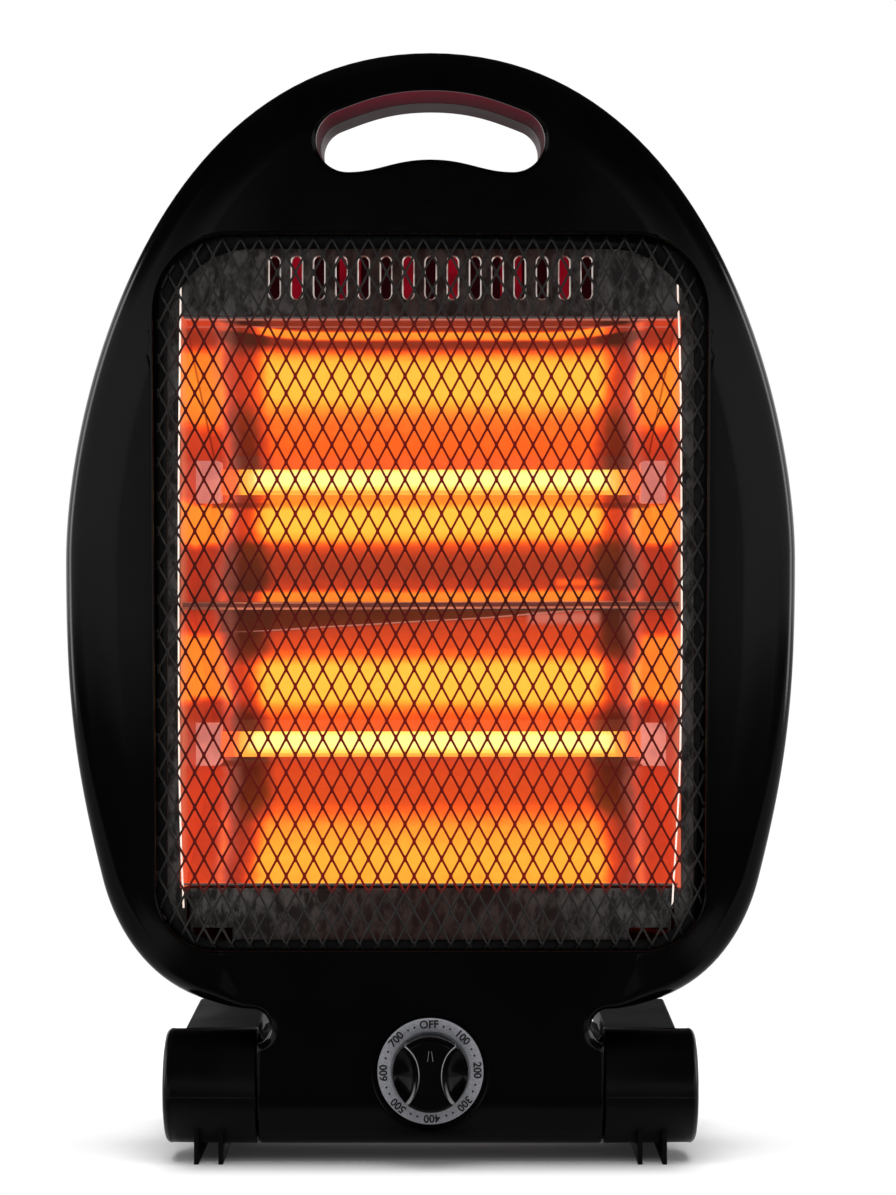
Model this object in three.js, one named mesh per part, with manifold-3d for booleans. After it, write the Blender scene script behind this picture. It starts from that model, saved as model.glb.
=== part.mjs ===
// Two-bar halogen heater: an egg-shaped two-piece housing with a carrying slot, a diamond-mesh guard over two
// quartz tubes in bright steel troughs, a rotary switch in the neck and two folding feet.
// Millimetres, +Z up, the front looks along -Y. Y = 0 of the body group is the parting plane of the housing.

import * as THREE from 'three';
import { mergeVertices } from 'three/addons/utils/BufferGeometryUtils.js';
import Module from 'manifold-3d';

const wasm = await Module();
wasm.setup();

// ---------------------------------------------------------------- driving dimensions

const gap = 0.3; // clearance between pieces that seat on each other
const housingRoom = 2; // sheets end this far inside the housing's wall
const sheet = 0.8; // pressed steel sheet
const past = 5; // a cutter runs this far past the faces that it opens

// housing outline, seen from the front
const bodyHalfWidth = 140;
const bodyTop = 426;
const crownHeight = 194.5; // from the widest point up to the top
const lobeBottom = 59.8; // underside of the egg, beside the neck
const shoulderInset = 33; // the crown's curve stops running level this far inside the side
const cornerInset = 14.3; // the side has drawn in this far where it turns into the lower corner
const cornerHeight = 108.6;
const cornerLean = THREE.MathUtils.degToRad(75.7); // slope of the side at that point
const crownPull = 0.305; // the pulls are shares of a curve's own run, and set how full it is
const sidePull = { top: 0.416, bottom: 0.37 };
const lobePull = { side: 0.305, neck: 0.71 };

// housing depth
const wall = 2.5;
const frontDepth = 40;
const rimRadius = 9;
const crown = 1.2; // rise of the face inside its rim
const crownRun = 12; // width over which it rises
const rearRimDepth = 9;
const rearBoxAir = 9.5; // between the heat shield and the raised box of the cover
const rearBoxRoom = 1.7; // the same at the sides
const rearBoxAboveWindow = 10.4;
const rearBoxBelowWindow = 8.2;
const rearBoxCorner = 34;
const rearBoxEdge = 8;
const rearVentRows = [{ fromTop: 34, height: 26 }, { fromBottom: 30, height: 20 }];
const rearVentPitch = 14;
const rearVentWidth = 5;
const rearVentsPerSide = 4;

// neck and foot pivots
const neckHalfWidth = 66.4;
const neckTop = 78; // hidden inside the egg
const neckBackDepth = 26;
const neckBackRadius = 20;
const pivotHeight = 28;
const barrelRadius = 22.2;
const notchRadius = 7;
const notchDepth = 5.1;
const notchHeight = 52.9;
const neckEdge = 1; // rounded side edge of the neck
const pinRadius = 5;
const pinBossRadius = 8.5;
const pinBossLength = 9;
const pinHeadLength = 2.5;
const pinEnd = 92; // the pins reach this far out from the middle
const pinSides = 14;

// window, guard and panel
const faceBesideWindow = 34.7; // width of the face from the window to the widest point
const faceAboveWindow = 70.4;
const faceBelowWindow = 22.4; // up to the window from the underside of the egg
const windowTopRadius = 29;
const windowBottomRadius = 23;
const windowTaper = 0.9; // extra half-width at the top, and as much less at the bottom
const windowWall = 2;
const guardSetback = 5;
const guardBorderInner = 1.2; // the border shows this much inside the window
const guardBorderOuter = 5;
const frameSheet = 1.2;
const frameLedge = { side: 6, top: 5.8, bottom: 3.5 }; // the frame shows this much inside the window
const frameTopRadius = 23;
const frameBottomRadius = 19.5;
const panelSetback = 10.5; // panel behind the face of the guard
const diamondWidth = 6.95;
const diamondHeight = 13.2;
const strand = 1;
const strandGap = 0.06; // the two layers of strands lie this close
const panelMargin = { side: 16.7, top: 6.4, bottom: 3.2 }; // panel hidden beyond the window
// hanging slots of the panel, heights above the window's lower edge
const panelHook = { x: 84, halfWidth: 7.5, low: 1, high: 7.5 };
const ventCount = 15;
const ventPitch = 8.6;
const ventWidth = 4.6;
const ventHeight = 17;
const ventDrop = 15.3; // middle of the vent row under the window's top edge

// reflector troughs
const troughInset = 8.8; // mouth of the troughs inside the window
const troughDraw = 8.9; // the end plates draw in by this much towards the back
const troughUnderWindow = 29.9;
const troughOverWindow = 22.6;
const ridgeHeight = 213.7;
const ridgeSetback = 16; // ridge between the troughs, behind the panel
const troughDepth = 49;
const troughFlat = 17.6; // height of the flat back behind each tube
const flatAboveTube = { upper: 2.7, lower: 0.3 }; // middle of the flat back over the tube's axis
const troughLip = 5; // small upturned lip at the outer edge of each trough

// tubes
const tubeRadius = 5;
const tubeWall = 1;
const tubeHeights = { upper: 262.4, lower: 159.2 };
const tubeSetback = 28; // tube axis behind the panel
const capInset = 14.1; // inner face of each ceramic cap inside the trough's mouth
const capLength = 24;
const capHeight = 16.4;
const capDepth = 14;
const capEdge = 1.2;
const tubeSeat = 8;
const coilInset = 10.4; // the winding stops this far short of each cap
const coilRadius = 3.1;
const coilWire = 0.9;
const coilTurns = 18;
const clip = { border: 3, ear: 3, tongue: 9, tongueHalfWidth: 3 };

// heat shield
const shieldMargin = { side: 12.5, top: 8.3, bottom: 6.8 }; // shield outside the troughs
const shieldAir = 3.6; // between the troughs and the shield
const shieldWindow = 24;

// handle slot
const slotHalfLength = 43.6;
const slotDrop = 34.7; // middle of the slot's round ends under the top of the housing
const slotEndRadius = 12;
const slotRise = 19.1; // top of the slot above the middle of its ends
const slotSag = 7.2; // its lower edge, arched up, below the same
const slotEndTurn = 0.19; // where the round end meets the long top curve, in turns
const slotPull = { sagMiddle: 0.45, sagEnd: 0.62, top: 0.5 };
const linerWall = 2;
const linerDepth = 25;
const slotDraft = 1.4;

// dial and knob
const dialHeight = 36.5;
const dialRadius = 20.2;
const dialInner = 12.6;
const dialThickness = 2.2;
const dialRoom = 1.6; // between the dial and the side of its recess
const dialRecessDepth = 1.8;
const dialRim = 1.4;
const dialChamfer = 0.6;
const knobRadius = 14.4;
const knobHeight = 11;
const knobEdge = 3; // radius of its front edge
const knobWaist = 7.9;
const scoopHalf = { width: 5.4, height: 10.6 };
const scoopFloor = 2.5; // thickness left under each scoop
const shaftRadius = 3;
const shaftReach = 11; // how far the shaft runs into the switch
const dialSides = 28;

// feet
const barrelEnd = 103.3;
const footOuterFront = 94;
const footOuterRear = 96.5;
const footRear = 82;
const footRearCorner = 20;
const footWall = 2.4;
const footSkirt = 9; // height of the side walls' lower edge above the floor
const ribThickness = 1.8;
const ribPositions = [80.25, 89.6];
const ribFront = 17; // ribs start this far in front of the pivot
const ribToe = 4; // chamfer at the rear end of each rib
const hubWall = 3.2; // ring round each pin's bore
const endCap = { bevel: 4.4, shoulder: 2.2, crown: 1, edge: 0.9, top: 3.4 }; // steps of the rounded hub end

// inner electrical parts
const wireRadius = 1.2;
const underShield = 12; // wires cross this far below the heat shield
const laneY = { lower: -3, upper: -8 }; // depths at which the two long wires run
const switchPlate = 2;
const switchBodyDepth = 20;
const switchBodyHalf = { width: 13, height: 11 };
const switchTabs = [-8, 0, 8];
const switchTabLength = 7;
const tabHalfWidth = 1.6;
const tiltSwitch = { x: -34, y: -4, halfWidth: 10, halfDepth: 8, height: 22, tab: 6, lid: 1 };
const terminals = { x: 32, halfLength: 12, pitch: 12, front: -10, back: 4, height: 12, bore: 1.6, well: 1.8 };
const cutout = { drop: 34, radius: 7.5, height: 4.9, ears: 28, earHeight: 9, tabs: 3.5, tabLength: 13 };
const glandX = 36;
const glandHeight = 34;
const glandNeck = 5.2;
const glandBore = 3.4;
const glandFlange = 7;
const glandTail = 4; // how far the grommet stands out of the cover
const glandLatch = 6.6; // radius of the ring that holds it from inside

// fasteners
const screwHead = 3.6;
const screwShank = 1.4;
const screwBoss = 4.6;
const screwReach = 12; // how far a screw runs into its boss
const bossSides = 10;
const holeSides = 8;
const screwSink = 3; // depth of the counterbore over each cover screw
const screwCrown = 2.3; // height of a screw's head
const topScrew = { besideSlot: 14.4, underTop: 29 };
const sideScrewInset = 11;
const neckScrew = { inset: 28.4, aboveLobe: 8.2 };
const frameScrew = { besideWindow: 11.2, underTroughTop: 25.7, overTroughBottom: 23.2 };

// ---------------------------------------------------------------- derived places

const widestHeight = bodyTop - crownHeight;
const cornerHalfWidth = bodyHalfWidth - cornerInset;
const windowHalfWidth = bodyHalfWidth - faceBesideWindow;
const windowTop = bodyTop - faceAboveWindow;
const windowBottom = lobeBottom + faceBelowWindow;
const slotEndHeight = bodyTop - slotDrop;
const dialRecess = dialRadius + dialRoom;
const panelHalfWidth = windowHalfWidth + panelMargin.side;
const panelTop = windowTop + panelMargin.top;
const panelBottom = windowBottom - panelMargin.bottom;
const ventCentreHeight = windowTop - ventDrop;
const troughHalfWidth = windowHalfWidth - troughInset; // at the panel
const troughBackHalfWidth = troughHalfWidth - troughDraw;
const troughTop = windowTop - troughUnderWindow;
const troughBottom = windowBottom + troughOverWindow;
const capReach = troughHalfWidth - capInset; // inner face of each ceramic cap from the centre
const coilHalfLength = capReach - coilInset;
const shieldHalfWidth = troughHalfWidth + shieldMargin.side;
const shieldTop = troughTop + shieldMargin.top;
const shieldBottom = troughBottom - shieldMargin.bottom;
const rearBoxHalfWidth = shieldHalfWidth + sheet + rearBoxRoom + wall;
const rearBoxTop = windowTop + rearBoxAboveWindow;
const rearBoxBottom = windowBottom - rearBoxBelowWindow;

const faceY = -frontDepth;
const pivotY = faceY + barrelRadius;
const guardY = faceY + guardSetback;
const panelY = guardY + panelSetback;
const troughY = panelY + sheet + gap;
const tubeY = panelY + tubeSetback;
const troughBackY = troughY + troughDepth;
const ridgeY = panelY + ridgeSetback;
const shieldBackDepth = troughBackY + sheet + shieldAir;
const rearBoxDepth = shieldBackDepth + rearBoxAir + wall;
const shieldFlangeY = panelY + sheet + gap;
const frameScrewSeat = shieldFlangeY + sheet + gap;
const frameScrewTip = frameScrewSeat - (3 / 4) * screwReach;

// ---------------------------------------------------------------- solids

function solid(geometry) {
  const bare = geometry.clone();
  bare.deleteAttribute('normal');
  bare.deleteAttribute('uv');
  const merged = mergeVertices(bare, 1e-4);
  const mesh = new wasm.Mesh({
    numProp: 3,
    vertProperties: new Float32Array(merged.attributes.position.array),
    triVerts: new Uint32Array(merged.index.array),
  });
  mesh.merge();
  return new wasm.Manifold(mesh);
}

function asManifold(piece) {
  return piece.isBufferGeometry ? solid(piece) : piece;
}

function join(first, ...others) {
  return others.reduce((sum, next) => sum.add(asManifold(next)), asManifold(first));
}

function cut(base, ...tools) {
  return tools.reduce((rest, tool) => rest.subtract(asManifold(tool)), asManifold(base));
}

function common(first, ...others) {
  return others.reduce((rest, next) => rest.intersect(asManifold(next)), asManifold(first));
}

function geometryOf(piece) {
  if (piece.isBufferGeometry) return piece;
  const mesh = piece.getMesh();
  const geometry = new THREE.BufferGeometry();
  const positions = new Float32Array(mesh.numVert * 3);
  for (let v = 0; v < mesh.numVert; v += 1) {
    for (let axis = 0; axis < 3; axis += 1) {
      positions[v * 3 + axis] = mesh.vertProperties[v * mesh.numProp + axis];
    }
  }
  geometry.setAttribute('position', new THREE.BufferAttribute(positions, 3));
  geometry.setIndex(new THREE.BufferAttribute(new Uint32Array(mesh.triVerts), 1));
  geometry.computeVertexNormals();
  return geometry;
}

// ---------------------------------------------------------------- outlines (x, z), seen from the front

function mirrored(half) {
  const left = half
    .filter((p) => p.x > 1e-6)
    .map((p) => new THREE.Vector2(-p.x, p.y))
    .reverse();
  return [...half, ...left];
}

// the egg as one smooth loop, clockwise as the front is seen from ahead
function eggOutline(steps = 10) {
  const crownCurve = new THREE.CubicBezierCurve(
    new THREE.Vector2(0, bodyTop),
    new THREE.Vector2(bodyHalfWidth - shoulderInset, bodyTop),
    new THREE.Vector2(bodyHalfWidth, widestHeight + (bodyTop - widestHeight) * crownPull),
    new THREE.Vector2(bodyHalfWidth, widestHeight),
  );
  const slope = new THREE.Vector2(-Math.cos(cornerLean), -Math.sin(cornerLean));
  const corner = new THREE.Vector2(cornerHalfWidth, cornerHeight);
  const sideRun = widestHeight - cornerHeight;
  const sideCurve = new THREE.CubicBezierCurve(
    new THREE.Vector2(bodyHalfWidth, widestHeight),
    new THREE.Vector2(bodyHalfWidth, widestHeight - sideRun * sidePull.top),
    corner.clone().addScaledVector(slope, -sideRun * sidePull.bottom),
    corner,
  );
  const bottomRun = cornerHeight - lobeBottom;
  const cornerCurve = new THREE.CubicBezierCurve(
    corner,
    corner.clone().addScaledVector(slope, bottomRun * lobePull.side),
    new THREE.Vector2(neckHalfWidth + (cornerHalfWidth - neckHalfWidth) * lobePull.neck, lobeBottom),
    new THREE.Vector2(neckHalfWidth, lobeBottom),
  );
  const half = [
    ...crownCurve.getPoints(steps),
    ...sideCurve.getPoints(Math.ceil(steps / 2)).slice(1),
    ...cornerCurve.getPoints(Math.ceil(steps * 0.6)).slice(1),
    new THREE.Vector2(0, lobeBottom),
  ];
  return mirrored(half).reverse();
}

function taperAt(z) {
  const middle = (windowTop + windowBottom) / 2;
  return (windowTaper * (z - middle)) / (windowTop - middle);
}

function arc(x, z, r, fromTurn, toTurn, steps) {
  return Array.from({ length: steps + 1 }, (_, i) => {
    const angle = 2 * Math.PI * (fromTurn + ((toTurn - fromTurn) * i) / steps);
    return new THREE.Vector2(x + r * Math.cos(angle), z + r * Math.sin(angle));
  });
}

function roundedRectangle(half, bottom, top, bottomRadius, topRadius, steps) {
  return [
    ...arc(half - bottomRadius, bottom + bottomRadius, bottomRadius, -0.25, 0, steps),
    ...arc(half - topRadius, top - topRadius, topRadius, 0, 0.25, steps),
    ...arc(topRadius - half, top - topRadius, topRadius, 0.25, 0.5, steps),
    ...arc(bottomRadius - half, bottom + bottomRadius, bottomRadius, 0.5, 0.75, steps),
  ];
}

// rounded window outline, made smaller by inset
function windowOutline(inset, cornerSteps = 5) {
  const outline = roundedRectangle(
    windowHalfWidth - inset,
    windowBottom + inset,
    windowTop - inset,
    windowBottomRadius - inset,
    windowTopRadius - inset,
    cornerSteps,
  );
  return outline.map((p) => new THREE.Vector2(p.x + Math.sign(p.x) * taperAt(p.y), p.y));
}

// kidney of the carrying slot, anticlockwise
function slotOutline(steps = 5) {
  const endX = slotHalfLength - slotEndRadius;
  const lobe = slotEndHeight - slotEndRadius;
  const sag = new THREE.CubicBezierCurve(
    new THREE.Vector2(0, slotEndHeight - slotSag),
    new THREE.Vector2(endX * slotPull.sagMiddle, slotEndHeight - slotSag),
    new THREE.Vector2(endX * slotPull.sagEnd, lobe),
    new THREE.Vector2(endX, lobe),
  );
  const end = arc(endX, slotEndHeight, slotEndRadius, -0.25, slotEndTurn, steps + 2);
  const shoulder = end[end.length - 1];
  const angle = 2 * Math.PI * slotEndTurn;
  const lean = new THREE.Vector2(-Math.sin(angle), Math.cos(angle));
  const top = new THREE.CubicBezierCurve(
    shoulder,
    shoulder.clone().addScaledVector(lean, slotEndRadius),
    new THREE.Vector2(endX * slotPull.top, slotEndHeight + slotRise),
    new THREE.Vector2(0, slotEndHeight + slotRise),
  );
  return mirrored([...sag.getPoints(steps), ...end.slice(1), ...top.getPoints(steps).slice(1)]);
}

function offsetLoop(points, inset) {
  const n = points.length;
  return points.map((p, i) => {
    const before = points[(i + n - 1) % n];
    const after = points[(i + 1) % n];
    const a = p.clone().sub(before).normalize();
    const b = after.clone().sub(p).normalize();
    const bend = Math.sqrt((1 + a.dot(b)) / 2);
    const along = a.add(b).normalize();
    return new THREE.Vector2(p.x - (along.y * inset) / bend, p.y + (along.x * inset) / bend);
  });
}

function rectangle(x0, z0, x1, z1) {
  return [
    new THREE.Vector2(x0, z0),
    new THREE.Vector2(x1, z0),
    new THREE.Vector2(x1, z1),
    new THREE.Vector2(x0, z1),
  ];
}

function capsule(x, z, width, height, steps = 4) {
  const r = width / 2;
  return [...arc(x, z - height / 2 + r, r, 0.5, 1, steps), ...arc(x, z + height / 2 - r, r, 0, 0.5, steps)];
}

function circle(x, z, r, steps = 24) {
  return arc(x, z, r, 0, 1 - 1 / steps, steps - 1);
}

// ---------------------------------------------------------------- building operations

// a front-view outline carried from y0 back to y1
function prism(outline, y0, y1) {
  const geometry = new THREE.ExtrudeGeometry(new THREE.Shape(outline), { depth: y1 - y0, bevelEnabled: false });
  return geometry.rotateX(Math.PI / 2).translate(0, y1, 0);
}

// a side-view outline (y, z) carried across from x0 to x1, with rounded side edges if edge is given
function crossPrism(outline, x0, x1, edge = 0) {
  const depth = x1 - x0 - 2 * edge;
  const bevel = { bevelEnabled: edge > 0, bevelThickness: edge, bevelSize: edge, bevelOffset: -edge };
  const geometry = new THREE.ExtrudeGeometry(new THREE.Shape(outline), { depth, bevelSegments: 2, ...bevel });
  return geometry.rotateX(Math.PI / 2).rotateZ(Math.PI / 2).translate(x0 + edge, 0, 0);
}

// a plan outline (x, y) carried up from z0 to z1
function column(outline, z0, z1) {
  const geometry = new THREE.ExtrudeGeometry(new THREE.Shape(outline), { depth: z1 - z0, bevelEnabled: false });
  return geometry.translate(0, 0, z0);
}

// skin through rings of equal count, one per depth, closed at both ends
function loft(rings) {
  const n = rings[0].points.length;
  const positions = [];
  const index = [];
  rings.forEach(({ points, y }) => points.forEach((p) => positions.push(p.x, y, p.y)));
  for (let r = 0; r + 1 < rings.length; r += 1) {
    for (let i = 0; i < n; i += 1) {
      const a = r * n + i;
      const b = r * n + ((i + 1) % n);
      index.push(a, b, b + n, a, b + n, a + n);
    }
  }
  const last = (rings.length - 1) * n;
  THREE.ShapeUtils.triangulateShape(rings[0].points, []).forEach(([a, b, c]) => index.push(a, c, b));
  const cap = THREE.ShapeUtils.triangulateShape(rings[rings.length - 1].points, []);
  cap.forEach(([a, b, c]) => index.push(last + a, last + b, last + c));
  const geometry = new THREE.BufferGeometry();
  geometry.setAttribute('position', new THREE.Float32BufferAttribute(positions, 3));
  geometry.setIndex(index);
  return geometry;
}

// half profile (radius, height) turned about the axis through (x, z) that points out of the front
function turnedFront(profile, x, z, y, steps = 28) {
  return new THREE.LatheGeometry(profile.map(([r, h]) => new THREE.Vector2(r, h)), steps)
    .rotateX(Math.PI)
    .translate(x, y, z);
}

// the same about a sideways axis; side is +1 or -1 and h runs outward
function turnedSide(profile, side, y, z, steps = 26) {
  const geometry = new THREE.LatheGeometry(profile.map(([r, h]) => new THREE.Vector2(r, h)), steps);
  return geometry.rotateZ((-side * Math.PI) / 2).translate(0, y, z);
}

function rod(r, y0, y1, x, z, steps = 14) {
  return turnedFront([[0, -y1], [r, -y1], [r, -y0], [0, -y0]], x, z, 0, steps);
}

function sideRod(r, x0, x1, y, z, steps = 20) {
  return turnedSide([[0, x0], [r, x0], [r, x1], [0, x1]], 1, y, z, steps);
}

function block(x0, x1, y0, y1, z0, z1) {
  const geometry = new THREE.BoxGeometry(x1 - x0, y1 - y0, z1 - z0);
  return geometry.translate((x0 + x1) / 2, (y0 + y1) / 2, (z0 + z1) / 2);
}

// round wire along smooth points, with flat ends
function wireAlong(points, r, steps, sides = 6) {
  const curve = new THREE.CatmullRomCurve3(points.map((p) => new THREE.Vector3(...p)), false, 'centripetal');
  const section = new THREE.Shape(circle(0, 0, r, sides));
  return new THREE.ExtrudeGeometry(section, { steps, extrudePath: curve, bevelEnabled: false });
}

// ---------------------------------------------------------------- materials and nodes

function material(name, color, roughness, metalness) {
  return Object.assign(new THREE.MeshStandardMaterial({ color, roughness, metalness }), { name });
}

const blackPlastic = () => material('black_plastic', 0x0b0b0c, 0.35, 0);
const maroonPlastic = () => material('maroon_plastic', 0x6a1f33, 0.45, 0);
const blackSteel = () => material('black_steel', 0x101010, 0.5, 0.3);
const brightSteel = () => material('bright_steel', 0xb9b4ac, 0.3, 1);
const greySteel = () => material('grey_steel', 0x8b8885, 0.4, 0.9);
const quartz = () => material('quartz', 0xffd8a0, 0.1, 0);
const glowingWire = () => Object.assign(material('glowing_wire', 0xffc060, 0.5, 0.5), {
  emissive: new THREE.Color(0xffb040),
});
const ceramic = () => material('ceramic', 0xcbb4aa, 0.8, 0);
const dialGrey = () => material('dial_grey', 0x6f7073, 0.5, 0);
const greyPlastic = () => material('grey_plastic', 0x3a3b3d, 0.5, 0);
const wireRed = () => material('wire_sleeve', 0x9a2b22, 0.6, 0);

const heater = new THREE.Group();
const body = new THREE.Group();
heater.add(body);

function node(name, piece, finish, parent = body) {
  const mesh = new THREE.Mesh(geometryOf(piece), finish());
  mesh.name = name;
  parent.add(mesh);
  return mesh;
}

// ---------------------------------------------------------------- places shared by several pieces

const bothSides = (x, z) => [[-x, z], [x, z]];

const rearScrews = [
  ...bothSides(slotHalfLength + topScrew.besideSlot, bodyTop - topScrew.underTop),
  ...bothSides(bodyHalfWidth - sideScrewInset, widestHeight),
  ...bothSides(neckHalfWidth - neckScrew.inset, lobeBottom + neckScrew.aboveLobe),
];

const frameScrewX = windowHalfWidth + frameScrew.besideWindow;
const frameScrews = [
  ...bothSides(frameScrewX, troughTop - frameScrew.underTroughTop),
  ...bothSides(frameScrewX, troughBottom + frameScrew.overTroughBottom),
];

const dialSeatY = faceY + dialRecessDepth;
const knobBackY = dialSeatY - dialThickness - gap;

function notchCutter(extra, y0, y1) {
  const x = neckHalfWidth - notchDepth + notchRadius;
  const r = notchRadius + extra;
  return join(...[x, -x].map((at) => prism(circle(at, notchHeight, r, 20), y0, y1)));
}

// side view of the neck, from the parting plane to the face, shrunk by inset
function frontNeckProfile(inset, back) {
  const r = barrelRadius - inset;
  return [
    new THREE.Vector2(back, neckTop),
    new THREE.Vector2(pivotY - r, neckTop),
    ...arc(pivotY, pivotHeight, r, 0.5, 0.75, 8),
    new THREE.Vector2(back, pivotHeight - r),
  ];
}

function rearNeckProfile(inset, front) {
  const r = neckBackRadius - inset;
  const back = neckBackDepth - inset;
  const bottom = pivotHeight - barrelRadius + inset;
  return [
    new THREE.Vector2(front, bottom),
    ...arc(back - r, bottom + r, r, -0.25, 0, 6),
    new THREE.Vector2(back, neckTop + neckBackRadius),
    new THREE.Vector2(front, neckTop + neckBackRadius),
  ];
}

// ---------------------------------------------------------------- front shell

function frontSkin(inset, back, bend) {
  const egg = eggOutline();
  const r = rimRadius - inset;
  const face = faceY + inset;
  const rings = [{ points: offsetLoop(egg, inset), y: back }];
  for (let k = 0; k <= bend; k += 1) {
    const angle = (k / bend) * (Math.PI / 2);
    rings.push({
      points: offsetLoop(egg, inset + r * (1 - Math.cos(angle))),
      y: face + crown + r * (1 - Math.sin(angle)),
    });
  }
  rings.push({ points: offsetLoop(egg, rimRadius + crownRun), y: face });
  return loft(rings);
}

function frontShell() {
  const neck = crossPrism(frontNeckProfile(0, 0), -neckHalfWidth, neckHalfWidth, neckEdge);
  const outer = cut(join(frontSkin(0, 0, 5), neck), notchCutter(0, faceY - past, past));
  const neckHollow = crossPrism(frontNeckProfile(wall, past), wall - neckHalfWidth, neckHalfWidth - wall);
  const hollow = join(frontSkin(wall, past, 2), cut(neckHollow, notchCutter(wall, faceY - past, 2 * past)));
  let shell = cut(outer, hollow);
  const windowTube = prism(windowOutline(-windowWall), faceY + crown, guardY - gap);
  const collar = prism(offsetLoop(slotOutline(), -linerWall - gap - wall), faceY + wall, faceY + 4 * wall);
  const bosses = [
    ...rearScrews.map(([x, z]) => rod(screwBoss, faceY + wall / 2, -gap, x, z, bossSides)),
    ...frameScrews.map(([x, z]) => rod(screwBoss, faceY + wall / 2, panelY - gap, x, z, bossSides)),
  ];
  shell = join(shell, windowTube, collar, ...bosses, dialPlinth(), ...pinBosses());
  const windowHole = prism(windowOutline(0), faceY - past, guardY + past);
  const slotHole = prism(slotOutline(), faceY - past, faceY + wall + gap);
  const linerSeat = prism(offsetLoop(slotOutline(), -linerWall - gap), faceY + wall, 0);
  const pilots = [
    ...rearScrews.map(([x, z]) => rod(screwShank + gap, -screwReach - 3 * gap, past, x, z, holeSides)),
    ...frameScrews.map(([x, z]) => rod(screwShank + gap, frameScrewTip - 3 * gap, past, x, z, holeSides)),
  ];
  const dialHoles = [
    rod(dialRecess, faceY - past, dialSeatY, 0, dialHeight, dialSides),
    rod(shaftRadius + 2 * gap, faceY - past, 0, 0, dialHeight, bossSides),
  ];
  return cut(shell, windowHole, slotHole, linerSeat, ...pilots, ...dialHoles, ...pinHoles());
}

// flat round seat for the dial, level with the face where the neck turns under
function dialPlinth() {
  return rod(dialRecess + dialRim, faceY, dialSeatY + wall, 0, dialHeight, dialSides);
}

// inner end of each pin's boss
const pinBossStart = neckHalfWidth - wall - pinBossLength;

function pinBosses() {
  const end = neckHalfWidth - wall / 2;
  const profile = [[0, pinBossStart], [pinBossRadius, pinBossStart], [pinBossRadius, end], [0, end]];
  return [-1, 1].map((side) => turnedSide(profile, side, pivotY, pivotHeight, pinSides));
}

// the pin's bore runs through each boss and side wall
function pinHoles() {
  const r = pinRadius + gap;
  const start = pinBossStart - past;
  const end = neckHalfWidth + past;
  const profile = [[0, start], [r, start], [r, end], [0, end]];
  return [-1, 1].map((side) => turnedSide(profile, side, pivotY, pivotHeight, pinSides));
}

node('front_shell', frontShell(), blackPlastic);

// ---------------------------------------------------------------- rear cover

function rearBox(inset, front, bend) {
  const r = rearBoxCorner - inset;
  const edge = rearBoxEdge - inset;
  const half = rearBoxHalfWidth - inset;
  const outline = roundedRectangle(half, rearBoxBottom + inset, rearBoxTop - inset, r, r, 5);
  const back = rearBoxDepth - inset;
  const rings = [{ points: outline, y: front }];
  for (let k = 0; k <= bend; k += 1) {
    const angle = (k / bend) * (Math.PI / 2);
    rings.push({
      points: offsetLoop(outline, edge * (1 - Math.cos(angle))),
      y: back - edge * (1 - Math.sin(angle)),
    });
  }
  return loft(rings.reverse());
}

function rearSkin(inset, front, bend) {
  const egg = eggOutline();
  const r = rearRimDepth - inset - gap;
  const rings = [{ points: offsetLoop(egg, inset), y: front }];
  for (let k = 0; k <= bend; k += 1) {
    const angle = (k / bend) * (Math.PI / 2);
    rings.push({
      points: offsetLoop(egg, inset + r * (1 - Math.cos(angle))),
      y: rearRimDepth - inset - r * (1 - Math.sin(angle)),
    });
  }
  return loft(rings.reverse());
}

function rearVents() {
  const slots = [];
  rearVentRows.forEach(({ fromTop, fromBottom, height }) => {
    const z = fromTop ? rearBoxTop - fromTop : rearBoxBottom + fromBottom;
    for (let i = -rearVentsPerSide; i <= rearVentsPerSide; i += 1) {
      const outline = capsule(i * rearVentPitch, z, rearVentWidth, height, 2);
      slots.push(prism(outline, rearBoxDepth - wall - past, rearBoxDepth + past));
    }
  });
  return slots;
}

function rearCover() {
  const neck = crossPrism(rearNeckProfile(0, gap), -neckHalfWidth, neckHalfWidth, neckEdge);
  const notch = notchCutter(0, -past, neckBackDepth + past);
  const outer = join(rearSkin(0, gap, 4), rearBox(0, gap, 3), cut(neck, notch));
  const neckHollow = crossPrism(rearNeckProfile(wall, -past), wall - neckHalfWidth, neckHalfWidth - wall);
  const notchInside = notchCutter(wall, -2 * past, neckBackDepth + past);
  const hollow = join(rearSkin(wall, -past, 1), rearBox(wall, -past, 1), cut(neckHollow, notchInside));
  const sleeve = loft(slotRings(-linerWall, linerDepth + faceY + wall + 2 * gap, rearRimDepth));
  const bosses = rearScrews.map(([x, z]) => rod(screwBoss, gap, rearSurface(z) - gap, x, z, bossSides));
  const bore = loft(slotRings(0, faceY, rearRimDepth + past));
  const holes = rearScrews.flatMap(([x, z]) => [
    rod(screwShank + 2 * gap, -past, rearSurface(z) + past, x, z, holeSides),
    rod(screwHead + gap, rearSurface(z) - screwSink, rearSurface(z) + past, x, z, bossSides),
  ]);
  const inner = neckBackDepth - wall - past;
  const glandHole = rod(glandNeck + gap, inner, neckBackDepth + past, glandX, glandHeight);
  return cut(join(cut(outer, hollow), sleeve, ...bosses), bore, ...holes, glandHole, ...rearVents());
}

// back surface of the cover at a screw
function rearSurface(z) {
  return z < neckTop ? neckBackDepth : rearRimDepth;
}

// slot outline at two depths, narrowing towards the back by the draft
function slotRings(inset, front, back) {
  const outline = slotOutline();
  const draftAt = (y) => (slotDraft * (y - faceY)) / (rearRimDepth - faceY);
  return [back, front].map((y) => ({ points: offsetLoop(outline, inset + draftAt(y)), y }));
}

node('rear_cover', rearCover(), maroonPlastic);

// ---------------------------------------------------------------- handle liner

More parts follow.
